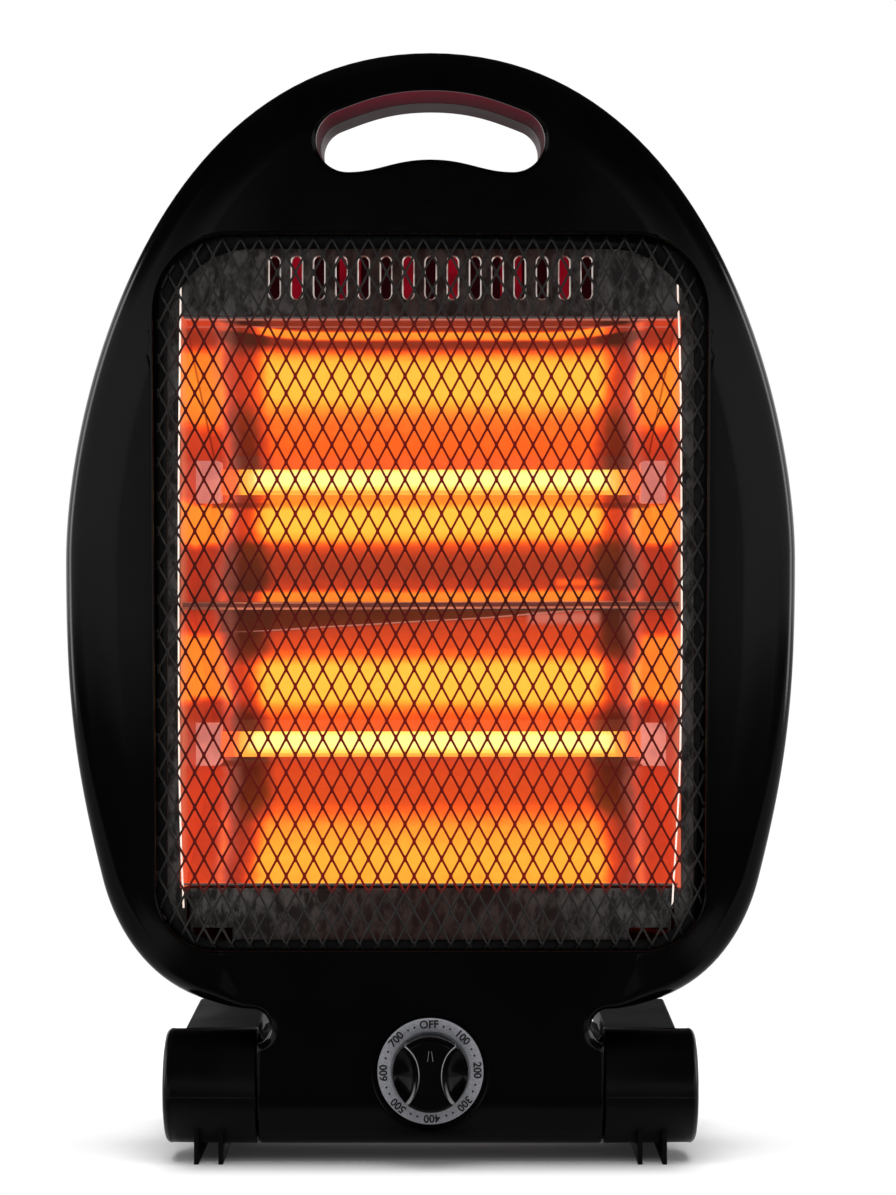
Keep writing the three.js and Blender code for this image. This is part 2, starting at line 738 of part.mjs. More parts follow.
function handleLiner() {
  const front = faceY + wall + gap;
  const back = front + linerDepth - gap;
  return cut(loft(slotRings(-linerWall, front, back)), loft(slotRings(0, front - past, back + past)));
}

node('handle_liner', handleLiner(), maroonPlastic);

// ---------------------------------------------------------------- diamond guard

// whether a point of the front view lies inside the window outline made smaller by inset
function insideWindow(x, z, inset) {
  const half = windowHalfWidth + taperAt(z) - inset;
  const top = windowTop - inset;
  const bottom = windowBottom + inset;
  if (Math.abs(x) > half || z > top || z < bottom) return false;
  const upper = z > (top + bottom) / 2;
  const r = (upper ? windowTopRadius : windowBottomRadius) - inset;
  const dx = Math.abs(x) - (half - r);
  const dz = upper ? z - (top - r) : bottom + r - z;
  return dx < 0 || dz < 0 || Math.hypot(dx, dz) < r;
}

// the stretch of a slanting line that ends inside the guard's border, or null
function guardSpan(x0, slope) {
  const middle = (windowTop + windowBottom) / 2;
  const reach = (windowTop - windowBottom) / 2 + guardBorderOuter;
  const samples = 400;
  const inside = Array.from({ length: samples + 1 }, (_, i) => -reach + (2 * reach * i) / samples)
    .filter((t) => insideWindow(x0 + slope * t, middle + t, -guardBorderOuter / 2));
  if (inside.length < 2) return null;
  const ends = [inside[0], inside[inside.length - 1]];
  if (ends[1] - ends[0] < 1.5 * diamondHeight) return null;
  return ends.map((t) => new THREE.Vector2(x0 + slope * t, middle + t));
}

// one flat strand of the mesh between two points of the front view
function guardStrand([from, to], y) {
  const along = to.clone().sub(from).normalize().multiplyScalar(strand / 2);
  const across = new THREE.Vector2(-along.y, along.x);
  const corners = [[from, 1], [from, -1], [to, -1], [to, 1]];
  return prism(corners.map(([p, side]) => p.clone().addScaledVector(across, side)), y, y + strand);
}

const guardBackY = guardY + 2 * strand + 2 * strandGap;

// space behind the flat part of the face, which the guard and its frame keep to
function behindFace() {
  return prism(offsetLoop(eggOutline(), rimRadius + gap), faceY, panelY + past);
}

// flat diamond mesh in a thin border
function guardGrille() {
  const border = cut(
    prism(windowOutline(-guardBorderOuter), guardY - strandGap, guardBackY),
    prism(windowOutline(guardBorderInner), guardY - past, guardBackY + past),
  );
  const slope = diamondWidth / diamondHeight;
  const reach = windowHalfWidth + ((windowTop - windowBottom) / 2) * slope;
  const count = Math.ceil(reach / diamondWidth);
  const strands = [];
  for (let i = -count; i <= count; i += 1) {
    [1, -1].forEach((lean) => {
      const span = guardSpan(i * diamondWidth, lean * slope);
      const y = lean > 0 ? guardY : guardY + strand + strandGap;
      if (span) strands.push(guardStrand(span, y));
    });
  }
  return common(join(border, ...strands), behindFace());
}

node('guard_grille', guardGrille(), blackSteel);

// ring behind the edge of the mesh, folded back to rest on the panel
function guardFrame() {
  const front = guardBackY + gap;
  const inside = roundedRectangle(
    windowHalfWidth - frameLedge.side,
    windowBottom + frameLedge.bottom,
    windowTop - frameLedge.top,
    frameBottomRadius,
    frameTopRadius,
    5,
  );
  const ring = common(prism(windowOutline(-guardBorderOuter), front, panelY - gap), behindFace());
  return cut(
    ring,
    prism(inside, front - past, panelY),
    prism(windowOutline(frameSheet - guardBorderOuter), front + frameSheet, panelY),
  );
}

node('guard_frame', guardFrame(), blackSteel);

// ---------------------------------------------------------------- inner panel

function innerPanel() {
  const blank = prism(rectangle(-panelHalfWidth, panelBottom, panelHalfWidth, panelTop), panelY, panelY + sheet);
  const inside = prism(offsetLoop(eggOutline(), wall + housingRoom), panelY - past, panelY + past);
  const half = troughHalfWidth + gap;
  const mouth = prism(rectangle(-half, troughBottom, half, troughTop), panelY - past, panelY + past);
  const vents = [];
  for (let i = 0; i < ventCount; i += 1) {
    const x = (i - (ventCount - 1) / 2) * ventPitch;
    vents.push(prism(capsule(x, ventCentreHeight, ventWidth, ventHeight, 3), panelY - past, panelY + past));
  }
  const { x: hookX, halfWidth, low, high } = panelHook;
  const hooks = [-hookX, hookX].map((x) => prism(
    rectangle(x - halfWidth, windowBottom + low, x + halfWidth, windowBottom + high),
    panelY - past,
    panelY + past,
  ));
  const holeThrough = ([x, z], r, sides) => rod(r, panelY - past, panelY + past, x, z, sides);
  const screwHoles = frameScrews.map((at) => holeThrough(at, screwShank + gap, holeSides));
  const bossRoom = rearScrews.map((at) => holeThrough(at, screwBoss + 2 * gap, bossSides));
  return cut(common(blank, inside), mouth, ...vents, ...hooks, ...screwHoles, ...bossRoom);
}

node('inner_panel', innerPanel(), greySteel);

// ---------------------------------------------------------------- reflector troughs

// open polyline (y, z) given a sheet's thickness on its back side
function sheetProfile(points) {
  const front = points.map(([y, z]) => new THREE.Vector2(y, z));
  const back = front.map((p, i) => {
    const before = front[Math.max(i - 1, 0)];
    const after = front[Math.min(i + 1, front.length - 1)];
    const a = p.clone().sub(before);
    const b = after.clone().sub(p);
    if (a.length() === 0) a.copy(b);
    if (b.length() === 0) b.copy(a);
    a.normalize();
    b.normalize();
    const bend = Math.sqrt((1 + a.dot(b)) / 2);
    const along = a.add(b).normalize();
    return new THREE.Vector2(p.x - (along.y * sheet) / bend, p.y + (along.x * sheet) / bend);
  });
  return [...front, ...back.reverse()];
}

// plan of the space between the two end plates
function troughPlan(inset) {
  return [
    new THREE.Vector2(inset - troughHalfWidth, troughY),
    new THREE.Vector2(troughHalfWidth - inset, troughY),
    new THREE.Vector2(troughBackHalfWidth - inset, troughBackY + sheet + gap),
    new THREE.Vector2(inset - troughBackHalfWidth, troughBackY + sheet + gap),
  ];
}

function reflector(points) {
  const blank = crossPrism(sheetProfile(points), -troughHalfWidth, troughHalfWidth);
  return common(blank, column(troughPlan(sheet + gap), troughBottom - past, troughTop + past));
}

const flatMiddle = {
  upper: tubeHeights.upper + flatAboveTube.upper,
  lower: tubeHeights.lower + flatAboveTube.lower,
};

node('upper_reflector', reflector([
  [ridgeY, ridgeHeight + sheet + gap],
  [troughBackY, flatMiddle.upper - troughFlat / 2],
  [troughBackY, flatMiddle.upper + troughFlat / 2],
  [troughY + troughLip, troughTop - gap],
  [troughY, troughTop - gap],
]), brightSteel);

node('lower_reflector', reflector([
  [troughY, troughBottom + sheet + gap],
  [troughY + troughLip, troughBottom + sheet + gap],
  [troughBackY, flatMiddle.lower - troughFlat / 2],
  [troughBackY, flatMiddle.lower + troughFlat / 2],
  [ridgeY, ridgeHeight - sheet - gap],
]), brightSteel);

// one slanting plate closes both troughs at each end
function endPlate(side) {
  const plan = [
    new THREE.Vector2(troughHalfWidth - sheet, panelY),
    new THREE.Vector2(troughHalfWidth, panelY),
    new THREE.Vector2(troughBackHalfWidth, troughBackY + sheet),
    new THREE.Vector2(troughBackHalfWidth - sheet, troughBackY + sheet),
  ];
  const plate = column(plan, troughBottom + gap, troughTop - gap);
  const room = 2 * gap;
  const windows = Object.values(tubeHeights).map((z) => block(
    capReach - past,
    capReach + capLength + past,
    tubeY - capDepth / 2 - room,
    tubeY + capDepth / 2 + room,
    z - capHeight / 2 - room,
    z + capHeight / 2 + room,
  ));
  const built = geometryOf(cut(plate, ...windows));
  return side > 0 ? built : mirror(built);
}

function mirror(geometry) {
  const flipped = geometry.clone().scale(-1, 1, 1);
  const order = flipped.index.array;
  for (let i = 0; i < order.length; i += 3) {
    [order[i], order[i + 1]] = [order[i + 1], order[i]];
  }
  flipped.computeVertexNormals();
  return flipped;
}

node('left_end_plate', endPlate(-1), brightSteel);
node('right_end_plate', endPlate(1), brightSteel);

// ---------------------------------------------------------------- heat shield

function heatShield() {
  const back = shieldBackDepth;
  const plan = [
    [-panelHalfWidth, shieldFlangeY],
    [-shieldHalfWidth, shieldFlangeY],
    [-shieldHalfWidth, back - sheet],
    [shieldHalfWidth, back - sheet],
    [shieldHalfWidth, shieldFlangeY],
    [panelHalfWidth, shieldFlangeY],
    [panelHalfWidth, shieldFlangeY + sheet],
    [shieldHalfWidth + sheet, shieldFlangeY + sheet],
    [shieldHalfWidth + sheet, back],
    [-shieldHalfWidth - sheet, back],
    [-shieldHalfWidth - sheet, shieldFlangeY + sheet],
    [-panelHalfWidth, shieldFlangeY + sheet],
  ].map(([x, y]) => new THREE.Vector2(x, y));
  const tray = column(plan, shieldBottom, shieldTop);
  const inside = prism(offsetLoop(eggOutline(), wall + housingRoom), shieldFlangeY - past, gap);
  const insideBox = rearBox(wall + gap, 0, 2);
  const windows = Object.values(tubeHeights).map((z) => block(
    -panelHalfWidth,
    panelHalfWidth,
    tubeY - shieldWindow / 2,
    tubeY + shieldWindow / 2,
    z - shieldWindow / 2,
    z + shieldWindow / 2,
  ));
  const holes = frameScrews.map(([x, z]) => (
    rod(screwShank + gap, shieldFlangeY - past, shieldFlangeY + past, x, z, holeSides)
  ));
  const bossRoom = rearScrews.map(([x, z]) => (
    rod(screwBoss + 2 * gap, shieldFlangeY - past, shieldFlangeY + past, x, z, bossSides)
  ));
  return cut(common(tray, join(inside, insideBox)), ...windows, ...holes, ...bossRoom);
}

node('heat_shield', heatShield(), greySteel);

// ---------------------------------------------------------------- tubes, coils, caps and clips

function quartzTube(z) {
  const half = capReach + tubeSeat - gap;
  const inner = tubeRadius - tubeWall;
  const profile = [[inner, -half], [tubeRadius, -half], [tubeRadius, half], [inner, half], [inner, -half]];
  return turnedSide(profile, 1, tubeY, z, 16);
}

// open resistance coil with straight tails that run into the caps
function heatingCoil(z) {
  const stepsPerTurn = 7;
  const tail = capReach + tubeSeat - coilHalfLength - 3 * gap;
  const onAxis = (x) => new THREE.Vector3(x, 0, 0);
  const points = [onAxis(-coilHalfLength - tail), onAxis(-coilHalfLength - tail / 2)];
  const steps = coilTurns * stepsPerTurn;
  for (let i = 0; i <= steps; i += 1) {
    const angle = (i / stepsPerTurn) * 2 * Math.PI;
    const ease = Math.min(1, i / 3, (steps - i) / 3);
    const x = -coilHalfLength + (2 * coilHalfLength * i) / steps;
    points.push(new THREE.Vector3(x, Math.sin(angle) * coilRadius * ease, Math.cos(angle) * coilRadius * ease));
  }
  points.push(onAxis(coilHalfLength + tail / 2), onAxis(coilHalfLength + tail));
  return tubeThrough(points, coilWire / 2, 4).translate(0, tubeY, z);
}

// straight-sided tube with a ring of corners at each point
function tubeThrough(points, r, sides) {
  const rings = points.map((p, i) => {
    const before = points[Math.max(i - 1, 0)];
    const after = points[Math.min(i + 1, points.length - 1)];
    const along = after.clone().sub(before).normalize();
    const out = new THREE.Vector3(0, p.y, p.z);
    if (out.length() < 1e-6) out.set(0, 0, 1);
    out.addScaledVector(along, -out.dot(along)).normalize();
    const across = along.clone().cross(out);
    return Array.from({ length: sides }, (_, k) => {
      const angle = ((k + 0.5) / sides) * 2 * Math.PI;
      return p.clone().addScaledVector(out, Math.cos(angle) * r).addScaledVector(across, Math.sin(angle) * r);
    });
  });
  const index = [];
  for (let i = 0; i + 1 < rings.length; i += 1) {
    for (let k = 0; k < sides; k += 1) {
      const a = i * sides + k;
      const b = i * sides + ((k + 1) % sides);
      index.push(a, b, b + sides, a, b + sides, a + sides);
    }
  }
  const last = (rings.length - 1) * sides;
  for (let k = 1; k + 1 < sides; k += 1) {
    index.push(0, k + 1, k, last, last + k, last + k + 1);
  }
  const geometry = new THREE.BufferGeometry();
  geometry.setAttribute('position', new THREE.Float32BufferAttribute(rings.flat().flatMap((p) => p.toArray()), 3));
  geometry.setIndex(index);
  return geometry;
}

function ceramicCap(side, z) {
  const x0 = capReach;
  const x1 = capReach + capLength;
  const outline = rectangle(tubeY - capDepth / 2, z - capHeight / 2, tubeY + capDepth / 2, z + capHeight / 2);
  const built = cut(
    crossPrism(outline, x0, x1, capEdge),
    sideRod(tubeRadius + gap, x0 - past, x0 + tubeSeat, tubeY, z, 14),
    sideRod(wireRadius + gap, x0, x1 + past, tubeY, z, holeSides),
  );
  const geometry = geometryOf(built);
  return side > 0 ? geometry : mirror(geometry);
}

// pressed clip that holds a cap to the outside of its end plate
function capClip(side, z) {
  const lean = Math.atan2(troughHalfWidth - troughBackHalfWidth, troughBackY - panelY);
  const plateX = THREE.MathUtils.mapLinear(tubeY, panelY, troughBackY + sheet, troughHalfWidth, troughBackHalfWidth);
  const room = 3 * gap;
  const halfY = capDepth / 2 + room;
  const halfZ = capHeight / 2 + room;
  const { border, ear, tongue, tongueHalfWidth } = clip;
  const frame = cut(
    block(0, sheet, -halfY - border, halfY + border, -halfZ - border - ear, halfZ + border + ear),
    block(-past, past, -halfY, halfY, -halfZ, halfZ),
  );
  const seat = halfZ - room + gap; // the tongues press on the cap from here
  const springs = [-1, 1].flatMap((end) => {
    const heights = (to) => [Math.min(end * seat, end * to), Math.max(end * seat, end * to)];
    return [
      block(0, tongue, -tongueHalfWidth, tongueHalfWidth, ...heights(seat + sheet)),
      block(0, sheet, -tongueHalfWidth, tongueHalfWidth, ...heights(halfZ + border)),
    ];
  });
  const geometry = geometryOf(join(frame, ...springs));
  geometry.rotateZ(lean).translate(plateX + 1.4 * gap, tubeY, z);
  return side > 0 ? geometry : mirror(geometry);
}

Object.entries(tubeHeights).forEach(([level, z]) => {
  node(`${level}_tube`, quartzTube(z), quartz);
  node(`${level}_coil`, heatingCoil(z), glowingWire);
  [['left', -1], ['right', 1]].forEach(([name, side]) => {
    node(`${level}_${name}_cap`, ceramicCap(side, z), ceramic);
    node(`${level}_${name}_clip`, capClip(side, z), brightSteel);
  });
});

// ---------------------------------------------------------------- switch, dial and knob

const switchY = dialSeatY + wall + gap;
const switchTabEnd = switchY + switchPlate + switchBodyDepth + switchTabLength;

function rotarySwitch() {
  const back = switchY + switchPlate + switchBodyDepth;
  const { width, height } = switchBodyHalf;
  const middle = switchY + switchPlate / 2;
  const bodyBlock = block(-width, width, middle, back, dialHeight - height, dialHeight + height);
  const plate = prism(capsuleSide(0, dialHeight, 2.8 * width, 1.4 * height), switchY, switchY + switchPlate);
  const tabZ = dialHeight - height / 2;
  const tabs = switchTabs.map((x) => (
    block(x - tabHalfWidth, x + tabHalfWidth, back - switchPlate, switchTabEnd, tabZ, tabZ + sheet)
  ));
  const bore = rod(shaftRadius + gap, switchY - past, switchY + shaftReach + 3 * gap, 0, dialHeight);
  return cut(join(bodyBlock, plate, ...tabs), bore);
}

function capsuleSide(x, z, width, height) {
  return capsule(0, 0, height, width, 5).map((p) => new THREE.Vector2(x - p.y, z + p.x));
}

function switchShaft() {
  return rod(shaftRadius, knobBackY - knobHeight / 2, switchY + shaftReach, 0, dialHeight);
}

function dialRing() {
  const out = dialRadius;
  const profile = [
    [dialInner, 0],
    [out, 0],
    [out, dialThickness - dialChamfer],
    [out - dialChamfer, dialThickness],
    [knobRadius + gap + dialChamfer, dialThickness],
    [knobRadius + gap, dialThickness - dialChamfer],
    [dialInner, dialThickness - dialChamfer - gap],
    [dialInner, 0],
  ];
  return turnedFront(profile, 0, dialHeight, dialSeatY - gap, dialSides);
}

function controlKnob() {
  const h = knobHeight;
  const r = knobRadius;
  const edge = knobEdge;
  const rim = arc(r - edge, h - edge, edge, 0, 0.25, 2).map((p) => [p.x, p.y]);
  const blank = turnedFront([[0, 0], [r, 0], ...rim, [0, h]], 0, dialHeight, knobBackY, dialSides);
  const scoopX = knobWaist / 2 + scoopHalf.width;
  const scoops = [-1, 1].map((side) => new THREE.SphereGeometry(1, 16, 10)
    .scale(scoopHalf.width, h - scoopFloor, scoopHalf.height)
    .translate(side * scoopX, knobBackY - h, dialHeight));
  const bore = rod(shaftRadius + gap, knobBackY - h / 2 - 3 * gap, knobBackY + past, 0, dialHeight);
  return cut(blank, ...scoops, bore);
}

node('rotary_switch', rotarySwitch(), greyPlastic);
node('dial_ring', dialRing(), dialGrey);
node('switch_shaft', switchShaft(), greySteel);
node('control_knob', controlKnob(), blackPlastic);

// ---------------------------------------------------------------- safety parts and cord gland

function thermalCutout() {
  const base = shieldBackDepth + gap;
  const z = shieldTop - cutout.drop;
  const disc = rod(cutout.radius, base + sheet / 2, base + sheet / 2 + cutout.height, 0, z, 20);
  const ears = prism(capsuleSide(0, z, cutout.ears, cutout.earHeight), base, base + sheet);
  const tabs = [-cutout.tabs, cutout.tabs].map((x) => (
    block(x - tabHalfWidth, x + tabHalfWidth, base + 2 * sheet, base + 3 * sheet, z, z + cutout.tabLength)
  ));
  return join(disc, ears, ...tabs);
}

const neckFloor = pivotHeight - barrelRadius + wall + gap;

function tipOverSwitch() {
  const { x, y, halfWidth, halfDepth, height, tab, lid } = tiltSwitch;
  const top = neckFloor + height;
  const caseBlock = block(x - halfWidth, x + halfWidth, y - halfDepth, y + halfDepth, neckFloor, top);
  const lidHalf = halfWidth - 2 * lid;
  const back = y + halfDepth;
  const lidBlock = block(x - lidHalf, x + lidHalf, back - lid, back + lid, neckFloor + 2 * lid, top - 2 * lid);
  const tabs = [-1, 1].map((side) => {
    const at = x + (side * halfWidth) / 2;
    return block(at - tabHalfWidth, at + tabHalfWidth, y - sheet / 2, y + sheet / 2, top - lid, top + tab);
  });
  return join(caseBlock, lidBlock, ...tabs);
}

function terminalBlock() {
  const { x, halfLength, pitch, front, back, height, bore, well } = terminals;
  const base = block(x - halfLength, x + halfLength, front, back, neckFloor, neckFloor + height);
  const poles = [x - pitch / 2, x + pitch / 2];
  const bores = poles.map((at) => rod(bore, front - past, back + past, at, neckFloor + height / 2, holeSides));
  const middle = (front + back) / 2;
  const screwWells = poles.map((at) => (
    block(at - well, at + well, middle - well, middle + well, neckFloor + 0.75 * height, neckFloor + height + past)
  ));
  return cut(base, ...bores, ...screwWells);
}

// grommet in the back of the neck; the cord itself leaves through its bore
function cordGland() {
  const out = neckBackDepth;
  const inner = neckBackDepth - wall;
  const profile = [
    [glandBore, -out - glandTail],
    [(glandBore + glandFlange) / 2, -out - glandTail],
    [glandFlange, -out - glandTail / 2],
    [glandFlange, -out - gap],
    [glandNeck, -out - gap],
    [glandNeck, -inner + gap],
    [glandLatch, -inner + gap],
    [glandLatch, -inner + glandTail / 2],
    [glandBore, -inner + glandTail / 2],
    [glandBore, -out - glandTail],
  ];
  return turnedFront(profile, glandX, glandHeight, 0, 14);
}

node('thermal_cutout', thermalCutout(), greyPlastic);
node('tip_over_switch', tipOverSwitch(), greyPlastic);
node('terminal_block', terminalBlock(), ceramic);
node('cord_gland', cordGland(), blackPlastic);

// ---------------------------------------------------------------- inner wiring

function wiring() {
  const tabY = switchTabEnd + wireRadius + gap;
  const tabZ = dialHeight - switchBodyHalf.height / 2;
  const tiltTab = tiltSwitch.x + tiltSwitch.halfWidth / 2;
  const tiltTop = neckFloor + tiltSwitch.height + tiltSwitch.tab + gap + wireRadius;
  const capEnd = capReach + capLength + gap + wireRadius;
  const lane = (shieldHalfWidth + cornerHalfWidth) / 2; // between the shield and the housing
  const below = shieldBottom - underShield;
  return {
    wire_tilt_to_switch: [
      [tiltTab, tiltSwitch.y, tiltTop],
      [tiltTab + 4, tiltSwitch.y, tiltTop + 9],
      [-14, tiltSwitch.y, tiltTop + 8],
      [switchTabs[0], tabY, tabZ],
    ],
    wire_switch_to_lower: [
      [switchTabs[2], tabY, tabZ],
      [20, 0, lobeBottom - 2],
      [28, laneY.lower, below - 4],
      [neckHalfWidth, laneY.lower, below + 2],
      [shieldHalfWidth - 9, laneY.lower, below],
      [lane - 3, laneY.lower, shieldBottom],
      [lane, laneY.lower, shieldBottom + 20],
      [lane, laneY.lower, tubeHeights.lower - 14],
      [capEnd, tubeY, tubeHeights.lower],
    ],
    wire_switch_to_upper: [
      [switchTabs[1], tabY, tabZ],
      [6, laneY.upper, lobeBottom - 2],
      [28, laneY.upper, below - 4],
      [neckHalfWidth, laneY.upper, below + 2],
      [shieldHalfWidth - 9, laneY.upper, below],
      [lane - 3, laneY.upper, shieldBottom],
      [lane + 2, laneY.upper, shieldBottom + 25],
      [lane + 3, laneY.upper, tubeHeights.lower],
      [lane + 2, laneY.lower, tubeHeights.upper - 22],
      [capEnd, tubeY, tubeHeights.upper],
    ],
    wire_left_bridge: [
      [-capEnd, tubeY, tubeHeights.lower],
      [-lane, 0, tubeHeights.lower + 17],
      [-lane - 2, -6, (tubeHeights.lower + tubeHeights.upper) / 2],
      [-lane, 0, tubeHeights.upper - 17],
      [-capEnd, tubeY, tubeHeights.upper],
    ],
  };
}

Object.entries(wiring()).forEach(([name, points]) => {
  node(name, wireAlong(points, wireRadius, 2 * points.length), wireRed);
});

// ---------------------------------------------------------------- feet and pivots

function footSide(inset) {
  const top = pivotHeight + barrelRadius - inset;
  const rear = footRear - inset;
  const r = footRearCorner - inset;
  const bottom = inset > 0 ? footSkirt - past : footSkirt;
  return [
    new THREE.Vector2(pivotY, bottom),
    new THREE.Vector2(rear, bottom),
    ...arc(rear - r, top - r, r, 0, 0.25, 6),
    new THREE.Vector2(pivotY, top),
  ];
}

function footPlan(inset) {
  const inner = neckHalfWidth + 3 * gap + inset;
  return [
    new THREE.Vector2(inner, pivotY - 1),
    new THREE.Vector2(footOuterFront - inset, pivotY - 1),
    new THREE.Vector2(footOuterRear - inset, footRear + 1),
    new THREE.Vector2(inner, footRear + 1),
  ];
}

function barrelProfile() {
  const inner = neckHalfWidth + gap + 0.1;
  const r = barrelRadius;
  const skin = r - footWall;
  return [
    [pinRadius + gap, inner],
    [pinRadius + gap + hubWall, inner],
    [pinRadius + gap + hubWall, barrelEnd - endCap.bevel],
    [skin, barrelEnd - endCap.bevel - endCap.crown],
    [skin, inner],
    [r, inner],
    [r, barrelEnd - endCap.bevel],
    [r - endCap.edge, barrelEnd - endCap.shoulder],
    [r - endCap.top, barrelEnd - endCap.crown],
    [0, barrelEnd],
    [0, pinEnd + 3 * gap],
    [pinRadius + gap, pinEnd + 3 * gap],
    [pinRadius + gap, inner],
  ];
}

function foot(side) {
  const barrel = turnedSide(barrelProfile(), 1, pivotY, pivotHeight);
  const hull = (inset) => common(
    crossPrism(footSide(inset), neckHalfWidth, barrelEnd),
    column(footPlan(inset), footSkirt - 2 * past, pivotHeight + barrelRadius + past),
  );
  const inBarrel = barrelRadius - footWall / 6; // the arm and ribs run this far into the barrel's skin
  const barrelRoom = sideRod(inBarrel, neckHalfWidth - past, barrelEnd + past, pivotY, pivotHeight, 26);
  const arm = cut(hull(0), hull(footWall), barrelRoom);
  const ribs = ribPositions.map((x) => {
    const shape = new THREE.Shape([
      new THREE.Vector2(pivotY - ribFront, 0),
      new THREE.Vector2(footRear - footWall / 2 - ribToe / 2, 0),
      new THREE.Vector2(footRear - footWall / 2, ribToe),
      new THREE.Vector2(footRear - footWall / 2, pivotHeight),
      new THREE.Vector2(footRear - footRearCorner, pivotHeight + barrelRadius - footWall / 2),
      new THREE.Vector2(pivotY, pivotHeight + barrelRadius - footWall / 2),
      new THREE.Vector2(pivotY - ribFront, pivotHeight),
    ]);
    return cut(crossPrism(shape.getPoints(), x - ribThickness / 2, x + ribThickness / 2), barrelRoom);
  });
  const geometry = geometryOf(join(barrel, arm, ...ribs));
  return side > 0 ? geometry : mirror(geometry);
}

function pivotPin(side) {
  const start = pinBossStart - gap;
  const head = pinBossRadius - 3 * gap;
  const profile = [
    [0, start - pinHeadLength],
    [head, start - pinHeadLength],
    [head, start],
    [pinRadius, start],
    [pinRadius, pinEnd],
    [0, pinEnd],
  ];
  return turnedSide(profile, side, pivotY, pivotHeight, pinSides);
}

[['left', -1], ['right', 1]].forEach(([name, side]) => {
  node(`${name}_foot`, foot(side), blackPlastic);
  node(`${name}_pivot_pin`, pivotPin(side), brightSteel);
});

// ---------------------------------------------------------------- screws

// head towards the back, with its underside at y, and a shank of the given length towards the front
function screw(x, z, y, length) {
  const profile = [
    [0, -length],
    [screwShank, screwShank - length],
    [screwShank, 0],
    [screwHead, 0],
    [0.65 * screwHead, 0.85 * screwCrown],
    [0, screwCrown],
  ];
  return new THREE.LatheGeometry(profile.map(([r, h]) => new THREE.Vector2(r, h)), 8).translate(x, y, z);
}

rearScrews.forEach(([x, z], i) => {
  const seat = rearSurface(z) - screwSink + gap;
  node(`rear_screw_${i + 1}`, screw(x, z, seat, seat + screwReach), greySteel);
});

frameScrews.forEach(([x, z], i) => {
  node(`frame_screw_${i + 1}`, screw(x, z, frameScrewSeat, frameScrewSeat - frameScrewTip), greySteel);
});

// ---------------------------------------------------------------- place the heater on its floor

const frontmost = knobBackY - knobHeight;
body.position.set(0, -(frontmost + footRear) / 2, 0);

export default heater;
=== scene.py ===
import math

import bmesh
import bpy
import numpy as np
from mathutils import Matrix, Vector


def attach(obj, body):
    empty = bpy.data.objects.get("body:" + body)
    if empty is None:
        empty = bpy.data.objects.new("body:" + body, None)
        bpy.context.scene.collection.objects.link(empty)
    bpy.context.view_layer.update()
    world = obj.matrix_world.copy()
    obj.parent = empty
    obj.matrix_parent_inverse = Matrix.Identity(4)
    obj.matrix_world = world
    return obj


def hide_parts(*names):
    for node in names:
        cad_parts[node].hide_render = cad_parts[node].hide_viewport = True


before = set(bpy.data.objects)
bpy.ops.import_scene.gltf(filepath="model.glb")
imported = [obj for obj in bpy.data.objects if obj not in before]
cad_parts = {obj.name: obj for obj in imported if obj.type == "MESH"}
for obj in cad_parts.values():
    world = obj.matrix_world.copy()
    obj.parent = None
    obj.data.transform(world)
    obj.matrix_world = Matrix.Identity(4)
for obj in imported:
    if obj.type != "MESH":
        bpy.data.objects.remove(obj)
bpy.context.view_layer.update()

# ------------------------------------------------------------------ sizes, millimetres, as in the part's source
# Front view is (x, z); y runs back from the parting plane of the housing.
GAP, WALL = 0.3, 2.5
HALF_WIDTH, TOP, WIDEST = 140.0, 426.0, 231.5
LOBE_BOTTOM = 59.8
CORNER, CORNER_LEAN = (125.7, 108.6), math.radians(75.7)
FACE, CROWN = -40.0, 1.2  # plane of the face, and how far back it falls at its edge
RIM, REAR_RIM = 9.0, 9.0
NECK = 66.4
PIVOT_Y, PIVOT_Z, BARREL = -17.8, 28.0, 22.2
NOTCH_R, NOTCH_X, NOTCH_Z = 7.0, 68.3, 52.9
NOTCH_RIM, NECK_RIM = 3.6, 1.6  # radius of the shell's rim round the notch and down the neck
WINDOW = (105.3, 82.2, 355.6, 23.0, 29.0)  # half width, bottom, top, lower and upper corner radius
GUARD_Y, PANEL_Y = -35.0, -24.5
GUARD_INSET = 2.6  # the mesh turns back this far inside the window's edge
FOLD = GUARD_INSET - 0.6  # radius that it turns back with
GUARD_SHIFT = (0.75, -2.9)  # middle knot from the middle of the window
STRAND, CELL = 0.84, (7.0, 13.2)  # width of a strand, width and height of a diamond
MOUTH, MOUTH_BOTTOM, MOUTH_TOP = 96.5, 104.8, 325.7  # half width and height of the troughs' mouth
VENT_Z, VENT_WIDTH, VENT_HEIGHT, VENT_PITCH = 340.3, 4.6, 17.0, 8.6
BAFFLE_Y = 36.4
TUBE_Y, TUBE_HALF = 3.5, 90.0
TUBES = {"upper": 262.4, "lower": 159.2}
DIAL_Z, DIAL_SEAT = 36.5, FACE + 1.8
DIAL_THICK, DIAL_R, PRINT_R = 2.2, 20.2, 17.8
KNOB_BACK, KNOB_R, KNOB_DEEP = DIAL_SEAT - 2.2 - GAP, 14.4, 11.0
SCOOP, SCOOP_DEEP = (12.4, 8.0, 11.6), 9.2  # centre and half sizes of the scoops in the knob
FOOT_END, ARM_END, ARM_REAR = 103.3, 95.2, 82.0
RIBS, RIB_FRONT = (80.25, 89.6), PIVOT_Y - 17
REAR_SCREWS = [(side * x, z) for x, z in ((58, 397), (129, WIDEST), (38, 68)) for side in (-1, 1)]
GLAND = (36, 0, 34)
SHIFT = -15.15  # the parting plane lies this far along Y in the shared frame
X_AXIS, Y_AXIS, FORWARD = (1, 0, 0), (0, 1, 0), (0, -1, 0)
SIDES = (-1, 1)


